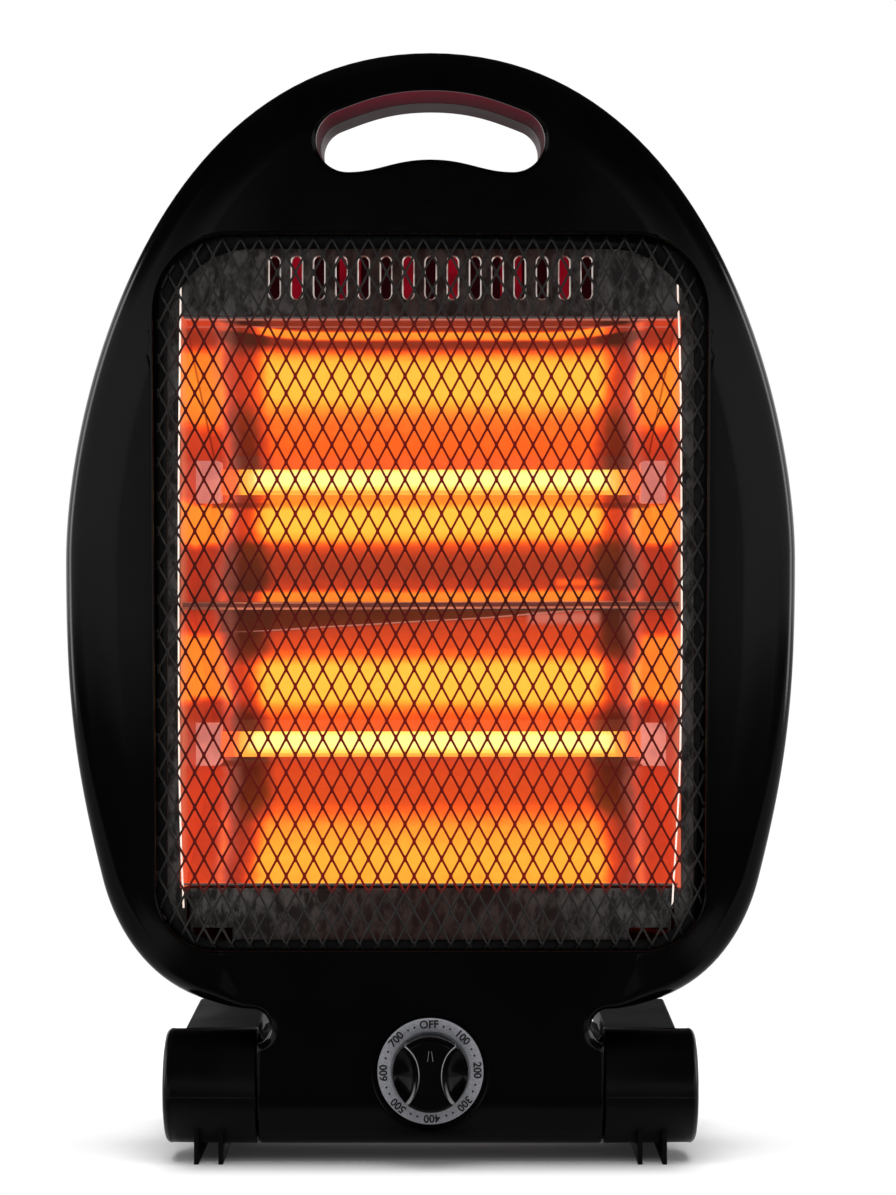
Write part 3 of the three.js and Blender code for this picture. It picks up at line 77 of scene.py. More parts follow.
def place(points):
    """Millimetres of the housing to metres of the shared frame."""
    p = np.asarray(points, float).reshape(-1, 3).copy()
    p[:, 1] += SHIFT
    return p / 1000.0


# ------------------------------------------------------------------ outlines
def bezier(a, b, c, d, n):
    t = np.linspace(0, 1, n + 1)[:, None]
    a, b, c, d = (np.array(p, float) for p in (a, b, c, d))
    return (1 - t) ** 3 * a + 3 * (1 - t) ** 2 * t * b + 3 * (1 - t) * t * t * c + t ** 3 * d


def quarter(n, start=0.0, end=math.pi / 2):
    return np.linspace(start, end, n)


def bend(x, y, r, angles):
    """Points of a round corner of a profile."""
    return [(x + r * math.cos(a), y + r * math.sin(a)) for a in angles]


def arc(x, z, r, start, end, n):
    """Round stretch of an outline, its angles in turns."""
    a = 2 * math.pi * np.linspace(start, end, n + 1)
    return np.column_stack([x + r * np.cos(a), z + r * np.sin(a)])


def ease(t):
    t = np.clip(t, 0, 1)
    return t * t * (3 - 2 * t)


def mirrored(half):
    half = np.array(half)
    left = half[half[:, 0] > 1e-6][::-1] * [-1, 1]
    return np.vstack([half, left])


def egg_half(n):
    """Right half of the housing's outline from the crown down to the neck."""
    slope = np.array([-math.cos(CORNER_LEAN), -math.sin(CORNER_LEAN)])
    corner = np.array(CORNER)
    side_run = WIDEST - CORNER[1]
    bottom_run = CORNER[1] - LOBE_BOTTOM
    shoulder = (HALF_WIDTH, WIDEST + (TOP - WIDEST) * 0.305)
    waist = (HALF_WIDTH, WIDEST - side_run * 0.416)
    crown = bezier((0, TOP), (107, TOP), shoulder, (HALF_WIDTH, WIDEST), n)
    side = bezier((HALF_WIDTH, WIDEST), waist, corner - slope * side_run * 0.37, corner, n // 2)
    under = (NECK + (CORNER[0] - NECK) * 0.71, LOBE_BOTTOM)
    lobe = bezier(corner, corner + slope * bottom_run * 0.305, under, (NECK, LOBE_BOTTOM), n // 2)
    return np.vstack([crown, side[1:], lobe[1:]])


def egg(n=48):
    flat = [(x, LOBE_BOTTOM) for x in np.linspace(NECK, 0, 12)[1:]]
    return mirrored(np.vstack([egg_half(n), flat]))[::-1]


def front_outline():
    """Outline of the front shell down to the middle of the neck, and the radius of its rim at each point."""
    half = egg_half(48)
    half = half[(half[:, 0] > NOTCH_X + 0.5) | (half[:, 1] > WIDEST)]
    bite = arc(NOTCH_X, NOTCH_Z, NOTCH_R, 0.25, 0.665, 20)
    foot_z = NOTCH_Z - math.sqrt(NOTCH_R ** 2 - (NOTCH_X - NECK) ** 2)
    side = np.array([(NECK, foot_z), (NECK, foot_z - 4), (NECK, 38), (NECK, 34), (40, 34), (0, 34)])
    points = np.vstack([half, bite, side])
    rim = NOTCH_RIM + (RIM - NOTCH_RIM) * ease((points[:, 0] - NOTCH_X) / 18)
    rim = np.where(points[:, 1] > WIDEST, RIM, rim)
    neck = points[:, 1] < NOTCH_Z
    rim[neck] = NECK_RIM + (NOTCH_RIM - NECK_RIM) * ease((points[neck, 1] - 42) / 9)
    both = np.column_stack([points, rim])
    left = both[both[:, 0] > 1e-6][::-1] * [-1, 1, 1]
    both = np.vstack([both, left])[::-1]
    return both[:, :2], both[:, 2]


def rounded(half, bottom, top, low_r, high_r, n=12):
    return np.vstack([
        arc(half - low_r, bottom + low_r, low_r, -0.25, 0, n),
        arc(half - high_r, top - high_r, high_r, 0, 0.25, n),
        arc(high_r - half, top - high_r, high_r, 0.25, 0.5, n),
        arc(low_r - half, bottom + low_r, low_r, 0.5, 0.75, n),
    ])


def window(inset):
    """Outline of the window, a little wider at its top."""
    half, bottom, top, low_r, high_r = WINDOW
    p = rounded(half - inset, bottom + inset, top - inset, low_r - inset, high_r - inset, 14)
    middle = (top + bottom) / 2
    p[:, 0] += np.sign(p[:, 0]) * 0.9 * (p[:, 1] - middle) / (top - middle)
    return p


def slot(n=16):
    end_x, end_z, r, turn = 31.6, 391.3, 12.0, 0.19
    sag_z, top_z, low = 384.1, 410.4, end_z - r
    sag = bezier((0, sag_z), (end_x * 0.45, sag_z), (end_x * 0.62, low), (end_x, low), n)
    end = arc(end_x, end_z, r, -0.25, turn, n + 6)
    lean = np.array([-math.sin(2 * math.pi * turn), math.cos(2 * math.pi * turn)])
    top = bezier(end[-1], end[-1] + lean * r, (end_x * 0.5, top_z), (0, top_z), n)
    return mirrored(np.vstack([sag, end[1:], top[1:]]))


def capsule(x, z, width, height, n=8):
    r = width / 2
    return np.vstack([arc(x, z - height / 2 + r, r, 0.5, 1, n), arc(x, z + height / 2 - r, r, 0, 0.5, n)])


def unit(vectors):
    return vectors / np.maximum(np.linalg.norm(vectors, axis=1, keepdims=True), 1e-9)


def offset(p, inset):
    """Outline moved inward by inset, which may differ from point to point."""
    p = np.asarray(p, float)
    after = np.roll(p, -1, 0)
    a, b = unit(p - np.roll(p, 1, 0)), unit(after - p)
    stretch = np.sqrt(np.maximum((1 + (a * b).sum(1)) / 2, 0.2))
    along = unit(a + b)
    anticlockwise = (p[:, 0] * after[:, 1] - after[:, 0] * p[:, 1]).sum() > 0
    normal = np.column_stack([-along[:, 1], along[:, 0]]) * (1 if anticlockwise else -1)
    return p + normal * (np.asarray(inset, float) / stretch).reshape(-1, 1)


# ------------------------------------------------------------------ meshes
def link(obj):
    bpy.context.scene.collection.objects.link(obj)
    return obj


def mesh_object(name, verts, faces, local=False):
    mesh = bpy.data.meshes.new(name)
    mesh.from_pydata((np.asarray(verts, float) if local else place(verts)).tolist(), [], faces)
    mesh.validate()
    bm = bmesh.new()
    bm.from_mesh(mesh)
    bmesh.ops.recalc_face_normals(bm, faces=bm.faces)
    bm.to_mesh(mesh)
    bm.free()
    return link(bpy.data.objects.new(name, mesh))


def skin_faces(count, n, start=0, closed=False):
    """Faces through count rings of n points, with flat caps unless closed on itself."""
    faces = []
    for k in range(count - 1 + closed):
        a, b = start + k * n, start + (k + 1) % count * n
        faces += [(a + i, a + (i + 1) % n, b + (i + 1) % n, b + i) for i in range(n)]
    if not closed:
        faces += [tuple(first + i for i in range(n)) for first in (start, start + (count - 1) * n)]
    return faces


def skin(name, rings, closed=False):
    return mesh_object(name, np.vstack(rings), skin_faces(len(rings), len(rings[0]), closed=closed))


def loft(name, rings, closed=False):
    """Skin through rings of (front outline, y)."""
    return skin(name, [np.column_stack([p[:, 0], np.broadcast_to(y, len(p)), p[:, 1]]) for p, y in rings], closed)


def prism(name, outline, y0, y1):
    return loft(name, [(outline, y0), (outline, y1)])


def cross_loft(name, layers):
    """Skin through rings of (side outline, x)."""
    return skin(name, [np.column_stack([np.broadcast_to(x, len(p)), p[:, 0], p[:, 1]]) for p, x in layers])


def side_solid(name, view, half, soft=0.0):
    """Side view drawn out to both sides of the middle, its edges rounded by soft."""
    view = np.array(view)
    layers = [(view, -half)]
    if soft:
        layers = [(offset(view, soft * (1 - math.sin(a))), -half + soft * (1 - math.cos(a))) for a in quarter(6)]
    layers += [(p, -x) for p, x in layers[::-1]]
    return cross_loft(name, layers)


def turned(name, profile, centre, axis=Y_AXIS, steps=96, stretch=(1, 1, 1)):
    """(radius, height) profile turned about an axis through centre; height runs along the axis."""
    profile = np.asarray(profile, float)
    angle = 2 * np.pi * np.arange(steps) / steps
    rings = [
        np.array([[0, 0, h]]) if r < 1e-9
        else np.column_stack([r * np.cos(angle), r * np.sin(angle), np.full(steps, h)])
        for r, h in profile
    ]
    starts = [int(s) for s in np.cumsum([0] + [len(r) for r in rings])]
    faces = []
    for k in range(len(rings) - 1):
        a, b = starts[k], starts[k + 1]
        for i in range(steps):
            j = (i + 1) % steps
            if len(rings[k]) == 1:
                faces.append((a, b + j, b + i))
            elif len(rings[k + 1]) == 1:
                faces.append((a + i, a + j, b))
            else:
                faces.append((a + i, a + j, b + j, b + i))
    z = Vector(axis).normalized()
    x = Vector((1, 0, 0)) if abs(z.x) < 0.9 else Vector((0, 0, 1))
    x = (x - z * x.dot(z)).normalized()
    basis = np.array([x, z.cross(x), z])
    return mesh_object(name, np.vstack(rings) @ basis * stretch + np.array(centre, float), faces)


def rod(name, r, low, high, centre, axis=Y_AXIS, steps=32):
    return turned(name, [(0, low), (r, low), (r, high), (0, high)], centre, axis, steps)


def box(name, x0, x1, y0, y1, z0, z1):
    verts = [(x, y, z) for x in (x0, x1) for y in (y0, y1) for z in (z0, z1)]
    faces = [(0, 1, 3, 2), (4, 6, 7, 5), (0, 4, 5, 1), (2, 3, 7, 6), (0, 2, 6, 4), (1, 5, 7, 3)]
    return mesh_object(name, verts, faces)


def modify(obj, kind, **settings):
    """Adds a modifier and applies it at once."""
    modifier = obj.modifiers.new(kind, kind)
    for key, value in settings.items():
        setattr(modifier, key, value)
    graph = bpy.context.evaluated_depsgraph_get()
    mesh = bpy.data.meshes.new_from_object(obj.evaluated_get(graph))
    obj.modifiers.clear()
    old, obj.data = obj.data, mesh
    bpy.data.meshes.remove(old)
    return obj


def round_edges(obj, width, segments=2, angle=40):
    modify(obj, "BEVEL", width=width / 1000, segments=segments, limit_method="ANGLE", angle_limit=math.radians(angle))


def combine(target, tools, operation):
    for tool in tools:
        modify(target, "BOOLEAN", operation=operation, solver="EXACT", object=tool)
        bpy.data.objects.remove(tool)


def cut(target, *tools):
    combine(target, tools, "DIFFERENCE")


def add(target, *tools):
    combine(target, tools, "UNION")


def merge(name, objects):
    """Several meshes as one object, without a boolean."""
    bm = bmesh.new()
    for obj in objects:
        bm.from_mesh(obj.data)
    mesh = bpy.data.meshes.new(name)
    bm.to_mesh(mesh)
    bm.free()
    for obj in objects:
        bpy.data.objects.remove(obj)
    return link(bpy.data.objects.new(name, mesh))


def mirrored_copy(obj):
    copy = obj.copy()
    copy.data = obj.data.copy()
    copy.name = obj.name
    copy.data.transform(Matrix.Diagonal((-1, 1, 1, 1)))
    copy.data.flip_normals()
    return link(copy)


def smooth(obj, angle=32, weighted=True):
    obj.data.shade_smooth()
    obj.data.set_sharp_from_angle(angle=math.radians(angle))
    if weighted:
        modify(obj, "WEIGHTED_NORMAL", keep_sharp=True, weight=100)


def paint(obj, material):
    obj.data.materials.clear()
    obj.data.materials.append(material)


def finish(obj, material, slot_name, *nodes, body="housing"):
    """Gives a piece its material and its body, and hides the CAD nodes that it stands for; slot_name is not used."""
    paint(obj, material)
    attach(obj, body)
    if nodes:
        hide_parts(*nodes)


# ------------------------------------------------------------------ camera first
camera_data = bpy.data.cameras.new("camera")
camera_data.lens = 98.06
camera_data.sensor_width = 36
camera_data.sensor_fit = "AUTO"
camera_data.clip_start = 0.05
camera_data.clip_end = 50
camera = link(bpy.data.objects.new("camera", camera_data))
camera.location = (0.0067, -1.28 + SHIFT / 1000, 0.217)
camera.rotation_euler = (math.radians(90), 0, 0)
bpy.context.scene.camera = camera


# ------------------------------------------------------------------ node trees
class Value:
    """Output of a node. Sums and products of values become math nodes."""

    def __init__(self, nodes, socket):
        self.nodes, self.socket = nodes, socket

    def __add__(self, other):
        return self.nodes.math("ADD", self, other)

    def __sub__(self, other):
        return self.nodes.math("SUBTRACT", self, other)

    def __rsub__(self, other):
        return self.nodes.math("SUBTRACT", other, self)

    def __mul__(self, other):
        return self.nodes.math("MULTIPLY", self, other)

    def __truediv__(self, other):
        return self.nodes.math("DIVIDE", self, other)

    def __abs__(self):
        return self.nodes.math("ABSOLUTE", self)

    __rmul__ = __mul__


class Nodes:
    """Writes the node tree of a material or of the world in short lines."""

    def __init__(self, name, world=False):
        self.owner = (bpy.data.worlds if world else bpy.data.materials).new(name)
        self.owner.use_nodes = True
        self.tree = self.owner.node_tree
        self.tree.nodes.clear()
        self.out = self.add("OutputWorld" if world else "OutputMaterial").inputs[0]
        self.coord = self.add("TexCoord").outputs["Generated" if world else "Object"]

    def add(self, kind, **settings):
        node = self.tree.nodes.new("ShaderNode" + kind)
        for key, value in settings.items():
            setattr(node, key, value)
        return node

    def feed(self, value, socket):
        """Sets a number or colour on the socket itself, and links anything else to it."""
        if isinstance(value, (int, float)):
            socket.default_value = value
        elif isinstance(value, (tuple, list)):
            socket.default_value = (*value[:3], 1)
        else:
            self.tree.links.new(getattr(value, "socket", value), socket)

    def put(self, kind, *inputs, output=0, settings={}, **named):
        """Adds a node, feeds its inputs in order or by name, and gives its output."""
        node = self.add(kind, **settings)
        for socket, value in zip(node.inputs, inputs):
            self.feed(value, socket)
        for name, value in named.items():
            self.feed(value, node.inputs[name.replace("_", " ")])
        return Value(self, node.outputs[output])

    def axes(self, vector=None):
        split = self.add("SeparateXYZ")
        self.feed(vector or self.coord, split.inputs[0])
        return [Value(self, output) for output in split.outputs]

    def normal(self):
        return self.axes(self.add("TexCoord").outputs["Normal"])

    def rays(self, *kinds):
        path = self.add("LightPath")
        return [Value(self, path.outputs[f"Is {kind} Ray"]) for kind in kinds]

    def noise(self, scale, detail, rough, stretch=(1, 1, 1)):
        mapping = self.add("Mapping")
        mapping.inputs["Scale"].default_value = stretch
        self.feed(self.coord, mapping.inputs["Vector"])
        return self.put("TexNoise", Vector=mapping.outputs[0], Scale=scale, Detail=detail, Roughness=rough)

    def math(self, operation, a, b=0.0, clamp=False):
        return self.put("Math", a, b, settings={"operation": operation, "use_clamp": clamp})

    def most(self, a, *others):
        for b in others:
            a = self.math("MAXIMUM", a, b)
        return a

    def span(self, value, low, high, to_low=0.0, to_high=1.0, kind="SMOOTHSTEP"):
        return self.put(
            "MapRange", Value=value, From_Min=low, From_Max=high, To_Min=to_low, To_Max=to_high,
            settings={"interpolation_type": kind},
        )

    def straight(self, value, low, high, to_low=0.0, to_high=1.0):
        return self.span(value, low, high, to_low, to_high, "LINEAR")

    def mix(self, factor, a, b):
        node = self.add("Mix", data_type="RGBA")
        colours = [socket for socket in node.inputs if socket.type == "RGBA"]
        for socket, value in zip([node.inputs[0]] + colours, (factor, a, b)):
            self.feed(value, socket)
        return Value(self, [socket for socket in node.outputs if socket.type == "RGBA"][0])

    def ramp(self, value, stops, kind="EASE"):
        """Colour or grey level by (position, level) stops."""
        node = self.add("ValToRGB")
        node.color_ramp.interpolation = kind
        elements = node.color_ramp.elements
        while len(elements) < len(stops):
            elements.new(0.5)
        for element, (position, level) in zip(elements, stops):
            element.position = position
            element.color = (*(level if isinstance(level, tuple) else (level,) * 3), 1)
        self.feed(value, node.inputs[0])
        return Value(self, node.outputs[0])

    def bump(self, height, strength, distance):
        return self.put("Bump", Strength=strength, Distance=distance, Height=height)

    def principled(self, **inputs):
        self.feed(self.put("BsdfPrincipled", **inputs), self.out)
        return self.owner


def linear(r, g, b):
    """An sRGB colour given in 0..255 as linear values."""
    return tuple(v / 12.92 if v <= 0.04045 else ((v + 0.055) / 1.055) ** 2.4 for v in (r / 255, g / 255, b / 255))


# ------------------------------------------------------------------ plain materials
def plastic(name, dark, light, rough, specular, grain=0.02):
    n = Nodes(name)
    cloud = n.noise(22, 4, 0.55)
    return n.principled(
        Base_Color=n.mix(n.span(cloud, 0.35, 0.7), dark, light),
        Roughness=n.span(cloud, 0.3, 0.75, *rough),
        Specular_IOR_Level=specular,
        Normal=n.bump(n.noise(2600, 2, 0.5), grain, 0.0002),
    )


def metal(name, dark, light, rough, brushed, scale):
    n = Nodes(name)
    streak = n.noise(scale, 4, 0.6, brushed)
    return n.principled(
        Base_Color=n.mix(n.span(n.noise(18, 3, 0.5), 0.3, 0.7), dark, light),
        Metallic=1.0,
        Roughness=n.span(streak, 0.25, 0.75, *rough),
        Normal=n.bump(streak, 0.05, 0.0003),
    )


def hub_paint():
    """Black plastic of the hubs, with a lighter line painted along the mould's parting line at the front, a painted
    highlight for the light its ridge catches.
    """
    n = Nodes("black_hub_plastic")
    cloud = n.noise(22, 4, 0.55)
    x, y, z = n.axes()
    height = z + n.span(n.noise(40, 2, 0.5), 0.3, 0.7, -0.0001, 0.0001)
    # painted highlight: a lighter line along the parting line of the mould
    seam_highlight = n.span(abs(height - 0.0264), 0.00008, 0.00025, 1, 0) * n.span(y, -0.045, -0.04, 1, 0)
    black = n.mix(n.span(cloud, 0.35, 0.7), (0.001, 0.001, 0.0011), (0.0018, 0.0018, 0.002))
    return n.principled(
        Base_Color=n.mix(seam_highlight, black, (0.008, 0.008, 0.0085)),
        Roughness=n.span(cloud, 0.3, 0.75, 0.28, 0.38),
        Specular_IOR_Level=0.14,
        Normal=n.bump(n.noise(2600, 2, 0.5), 0.02, 0.0002),
    )


def knob_paint():
    """Black plastic with painted highlights along the edges of its scoops."""
    n = Nodes("black_knob_plastic")
    cloud = n.noise(60, 2, 0.5)
    x, y, z = n.axes()
    centre, half_x, half_z = (size / 1000 for size in SCOOP)
    up = z - (DIAL_Z - 0.3) / 1000
    wide, high = (abs(x) - centre) / half_x, up / half_z
    reach = n.math("SQRT", wide * wide + high * high)  # 1 on the scoop's edge
    # painted highlight along the scoop's edge
    rim = n.span(abs(reach - 1.02), 0.01, 0.032, 1, 0) * n.span(up, -0.007, 0.002, 0.1, 1)
    # the second painted highlight lies inside the scoop and meets its edge at the bottom
    inner = n.span(abs(reach + up * 19.3 - 0.81), 0.02, 0.06, 1, 0)
    inner = inner * (n.span(up, -0.007, -0.002, 1, 0) * n.span(wide, -0.4, -0.2, 1, 0))
    inner = inner * n.span(up, -0.012, -0.0095, 0.25, 1)
    black = n.mix(cloud, (0.0007, 0.0007, 0.0008), (0.0012, 0.0012, 0.0014))
    return n.principled(
        Base_Color=n.mix(n.most(rim, inner), black, (0.22, 0.22, 0.225)),
        Roughness=n.span(cloud, 0.3, 0.7, 0.16, 0.22),
        Specular_IOR_Level=0.16,
    )


def dial_paint():
    n = Nodes("dial_grey")
    speck = n.noise(1800, 4, 0.7)
    return n.principled(
        Base_Color=n.mix(n.span(speck, 0.35, 0.7), linear(118, 119, 125), linear(143, 144, 150)),
        Roughness=0.55,
        Specular_IOR_Level=0.3,
        Normal=n.bump(speck, 0.2, 0.0002),
    )


BLACK = plastic("black_gloss_plastic", (0.0005, 0.0005, 0.0006), (0.0009, 0.0009, 0.0011), (0.12, 0.17), 0.14)
BLACK_SOFT = plastic("black_ribbed_plastic", (0.001, 0.001, 0.0011), (0.0018, 0.0018, 0.002), (0.28, 0.38), 0.16)
MAROON = plastic("maroon_plastic", linear(68, 19, 30), linear(76, 22, 34), (0.42, 0.52), 0.12)
MAROON_LINER = plastic("maroon_liner", linear(102, 19, 36), linear(116, 27, 46), (0.55, 0.65), 0.02)
FOOT_TOP = plastic("black_matt_plastic", (0.001, 0.001, 0.0011), (0.002, 0.002, 0.002), (0.5, 0.6), 0.1)
SLEEVE = plastic("woven_sleeve", (0.16, 0.02, 0.012), (0.28, 0.04, 0.02), (0.6, 0.8), 0.3, 0.3)
GREY_PLASTIC = plastic("dark_grey_plastic", (0.03, 0.03, 0.033), (0.05, 0.05, 0.055), (0.4, 0.55), 0.4)
PRINT = plastic("black_print", (0.003, 0.003, 0.003), (0.005, 0.005, 0.005), (0.5, 0.6), 0.2)
STEEL = metal("bright_steel", (0.5, 0.48, 0.46), (0.68, 0.66, 0.63), (0.22, 0.42), (1, 1, 14), 90)
ZINC = metal("zinc_steel", (0.32, 0.31, 0.3), (0.46, 0.45, 0.44), (0.35, 0.55), (1, 1, 1), 60)
HUB, KNOB, DIAL_GREY = hub_paint(), knob_paint(), dial_paint()


def guard_paint():
    """Stoved black finish; in front of the troughs the strands get a darker base and a painted dull-red glow in bands,
    standing in for the troughs' glow behind them.
    """
    n = Nodes("guard_paint")
    x, y, z = n.axes()
    # painted light and shade: zone in front of the troughs, with a darker base and a red emission
    glow_zone = n.span(abs(x), 0.092, 0.099, 1, 0) * (n.span(z, 0.102, 0.107) * n.span(z, 0.321, 0.327, 1, 0))
    grain = n.noise(700, 3, 0.6)
    bright = n.ramp(n.straight(z, 0.1, 0.33), [
        (0.0, 0.9), (0.12, 1.0), (0.17, 0.55), (0.21, 0.7), (0.27, 0.8), (0.36, 1.0), (0.45, 0.5),
        (0.5, 0.1), (0.58, 0.35), (0.63, 1.0), (0.74, 0.8), (0.8, 0.6), (0.87, 1.0), (0.97, 0.4),
    ])
    glow_level = glow_zone * n.span(abs(x), 0.062, 0.074, 1, 0.45) * bright
    cold = n.mix(grain, (0.01, 0.0095, 0.009), (0.036, 0.034, 0.033))
    return n.principled(
        Base_Color=n.mix(glow_zone, cold, (0.006, 0.002, 0.0015)),
        Metallic=0.3,
        Roughness=n.span(grain, 0.3, 0.7, 0.28, 0.4),
        Specular_IOR_Level=0.3,
        Emission_Color=n.mix(glow_zone, (0, 0, 0), n.mix(glow_level, linear(48, 5, 3), linear(116, 8, 1))),
        Emission_Strength=1.0,
        Normal=n.bump(grain, 0.1, 0.0002),
    )


def panel_paint():
    """Dull, mottled sheet with a faint painted grey glow, redder and stronger towards the middle, where the glow of the
    troughs reaches it.
    """
    n = Nodes("panel_sheet")
    x, y, z = n.axes()
    mottle = n.noise(260, 5, 0.7, (1, 1, 0.45))
    cloud = n.noise(45, 3, 0.5)
    # painted glow: stronger and redder towards the middle
    glow_warmth = n.span(abs(x), 0.02, 0.085, 1, 0) * n.span(cloud, 0.2, 0.8, 0.6, 1.0)
    streak = n.span(mottle, 0.4, 0.62)
    grey = n.mix(streak, (0.008, 0.008, 0.008), (0.12, 0.116, 0.112))
    brown = n.mix(streak, (0.006, 0.0035, 0.003), (0.04, 0.02, 0.014))
    return n.principled(
        Base_Color=n.mix(glow_warmth, grey, brown),
        Metallic=0.25,
        Roughness=n.span(cloud, 0.3, 0.7, 0.5, 0.7),
        Emission_Color=n.mix(glow_warmth, (0.0035, 0.0028, 0.0025), (0.009, 0.002, 0.0013)),
        Emission_Strength=1.0,
        Normal=n.bump(mottle, 0.15, 0.0004),
    )


# ------------------------------------------------------------------ glow of troughs, plates and tubes
# colour of the painted glow on the sheets by its level, from 0 to 1
GLOW_COLOURS = [
    (0.0, linear(40, 14, 11)), (0.14, linear(86, 25, 15)), (0.25, linear(130, 38, 24)), (0.36, linear(178, 48, 28)),
    (0.5, linear(222, 66, 28)), (0.62, linear(252, 94, 30)), (0.75, linear(255, 140, 42)), (0.86, linear(255, 176, 52)),
    (1.0, linear(255, 206, 70)),
]
# how bright the painted glow on the end plates and the two troughs is, by height in millimetres
PLATE_BANDS = [
    (104, 0.46), (118, 0.4), (138, 0.4), (150, 0.38), (158, 0.3), (171, 0.3), (175, 0.35), (178, 0.72), (201, 0.7),
    (204, 0.42), (213, 0.3), (216, 0.3), (236, 0.32), (239, 0.72), (253, 0.74), (256, 0.4), (270, 0.34), (281, 0.4),
    (286, 0.68), (296, 0.74), (312, 0.7), (316, 0.3), (320, 0.28), (323, 0.42), (327, 0.36),
]
UPPER_BANDS = [
    (213.5, 0.05), (214.4, 0.05), (214.9, 0.72), (219, 0.74), (221, 0.4), (226, 0.3), (233, 0.31), (236.5, 0.46),
    (240, 0.82), (243.7, 0.97), (251.6, 0.97), (254, 0.76), (258, 0.72), (262, 0.6), (268, 0.58), (281, 0.62),
    (288, 0.65), (292.5, 0.8), (296, 0.94), (306, 0.95), (309, 0.9), (311.2, 0.76), (313, 0.56), (314.4, 0.24),
    (316.6, 0.24), (317.4, 0.76), (319.8, 0.8), (320.6, 0.24), (326, 0.26),
]
LOWER_BANDS = [
    (104, 0.84), (116, 0.88), (127, 0.78), (132, 0.62), (137, 0.45), (152, 0.42), (160, 0.53), (169, 0.58), (173, 0.73),
    (176.5, 0.95), (190, 0.95), (194, 0.66), (198, 0.48), (207.3, 0.38), (208.4, 0.1), (213.7, 0.06),
]
# creases of an end plate, painted as lines of shade or highlight: lower and upper height, |x| at both, and whether the
# line is dark
CREASES = [
    (273, 321, 87.0, 94.5, True), (218, 255, 91.0, 84.5, False), (170, 208, 84.0, 91.0, True),
    (109, 153, 94.0, 84.0, True),
]


def glow_bands(n, height, bands):
    low, high = bands[0][0], bands[-1][0]
    level = n.straight(height, low / 1000, high / 1000)
    return n.ramp(level, [((h - low) / (high - low), glow_level) for h, glow_level in bands], "LINEAR")


def patch(n, x, z, x0, x1, z0, z1, soft):
    """Soft-edged rectangle in the front view, millimetres."""
    mask = 1.0
    for value, low, high in ((x, x0, x1), (z, z0, z1)):
        rise = n.span(value, (low - soft) / 1000, (low + soft) / 1000)
        mask = mask * (rise * n.span(value, (high - soft) / 1000, (high + soft) / 1000, 1, 0))
    return mask


def line(n, value, centre, half):
    """Thin soft line where value is near centre, millimetres."""
    return n.span(abs(value - centre / 1000), half * 0.5 / 1000, half * 1.5 / 1000, 1, 0)


def facing_tube(n, tube_z):
    """1 on the side of a sheet that faces the tube at height tube_z, 0 on its back."""
    x, y, z = n.axes()
    normal_x, normal_y, normal_z = n.normal()
    toward = ((TUBE_Y + SHIFT) / 1000 - y) * normal_y + (tube_z / 1000 - z) * normal_z
    return n.span(toward, -0.001, 0.0005)


def painted_glow_sheet(n, colour, mottle, bump, base=(0.16, 0.07, 0.045)):
    return n.principled(
        Base_Color=base,
        Metallic=0.8,
        Roughness=n.span(mottle, 0.3, 0.7, 0.3, 0.42),
        Emission_Color=colour,
        Emission_Strength=1.0,
        Normal=bump,
    )


def glow_paint(level, bands, seam_tilt):
    """Bright sheet with the glow of its tube painted on as emission in soft bands of reflection, darker near both ends.
    """
    n = Nodes(f"{level}_trough_glow")
    tube_z = TUBES[level]
    x, y, z = n.axes()
    ax = abs(x)
    height = z + n.straight(n.noise(30, 2, 0.5, (0.25, 1, 1)), 0.3, 0.7, -0.0007, 0.0007)
    height = height + n.span(ax, 0.045, 0.092, 0, 0.0042) * n.span(z, 0.306, 0.316) * -1.0
    height = height - x * seam_tilt * n.span(z, 0.199, 0.2045)
    glow_level = glow_bands(n, height, bands)
    mottle = n.noise(240, 5, 0.7)
    cloud = n.noise(34, 3, 0.6, (1, 1, 0.5))
    # towards the ends the painted glow first darkens, then takes on the end plate's painted glow
    edge = ax + n.straight(cloud, 0.25, 0.75, -0.003, 0.003)
    start = edge + n.span(glow_level, 0.5, 0.75, 0.0025, 0)
    dim_zone = n.span(start, 0.0635, 0.0735) * n.span(edge, 0.0765, 0.0835, 1, 0)
    core = glow_level - dim_zone * n.straight(glow_level, 0.3, 0.95, 0.42, 0.54)
    core = core + (glow_bands(n, z, PLATE_BANDS) - core) * n.span(ax, 0.0795, 0.0845)
    # a painted glint
    core = core + patch(n, x, z, 49, 68, 221.6, 224.4, 1.2) * 0.25
    fine = n.straight(mottle, 0.25, 0.75, -0.035, 0.035)
    colour = n.ramp(n.math("ADD", core, fine, clamp=True), GLOW_COLOURS, "LINEAR")
    # painted highlights and reflections: pale lines on the folded lips, the reflection of the reflectors' joint, a pale
    # haze to its right, a pale band near the ends
    lips = n.math("ADD", line(n, z, 324.7, 0.45), line(n, z, 322.0, 0.2), clamp=True) * 0.6
    seam_highlight = line(n, height, 208.2, 0.3) * n.span(ax, 0.06, 0.08, 0.8, 0.2)
    haze = patch(n, x, z, 38, 66, 206.8, 210.9, 1.4) * 0.68
    pale_band = n.span(edge, 0.074, 0.079) * n.span(edge, 0.081, 0.086, 1, 0) * 0.24
    for factor in (lips, seam_highlight, haze, pale_band):
        colour = n.mix(factor, colour, linear(196, 116, 102))
    # a painted dark line below the tube, towards the ends
    dark_line = line(n, z, tube_z - 8.6, 1.1) * n.span(ax, 0.058, 0.074, 0, 0.8)
    colour = n.mix(dark_line, colour, linear(78, 30, 22))
    # the painted glow lies only on the side that faces the tube
    front = facing_tube(n, tube_z)
    base = n.mix(front, (0.3, 0.29, 0.28), (0.16, 0.07, 0.045))
    return painted_glow_sheet(n, n.mix(front, (0, 0, 0), colour), mottle, n.bump(cloud, 0.2, 0.0006), base)


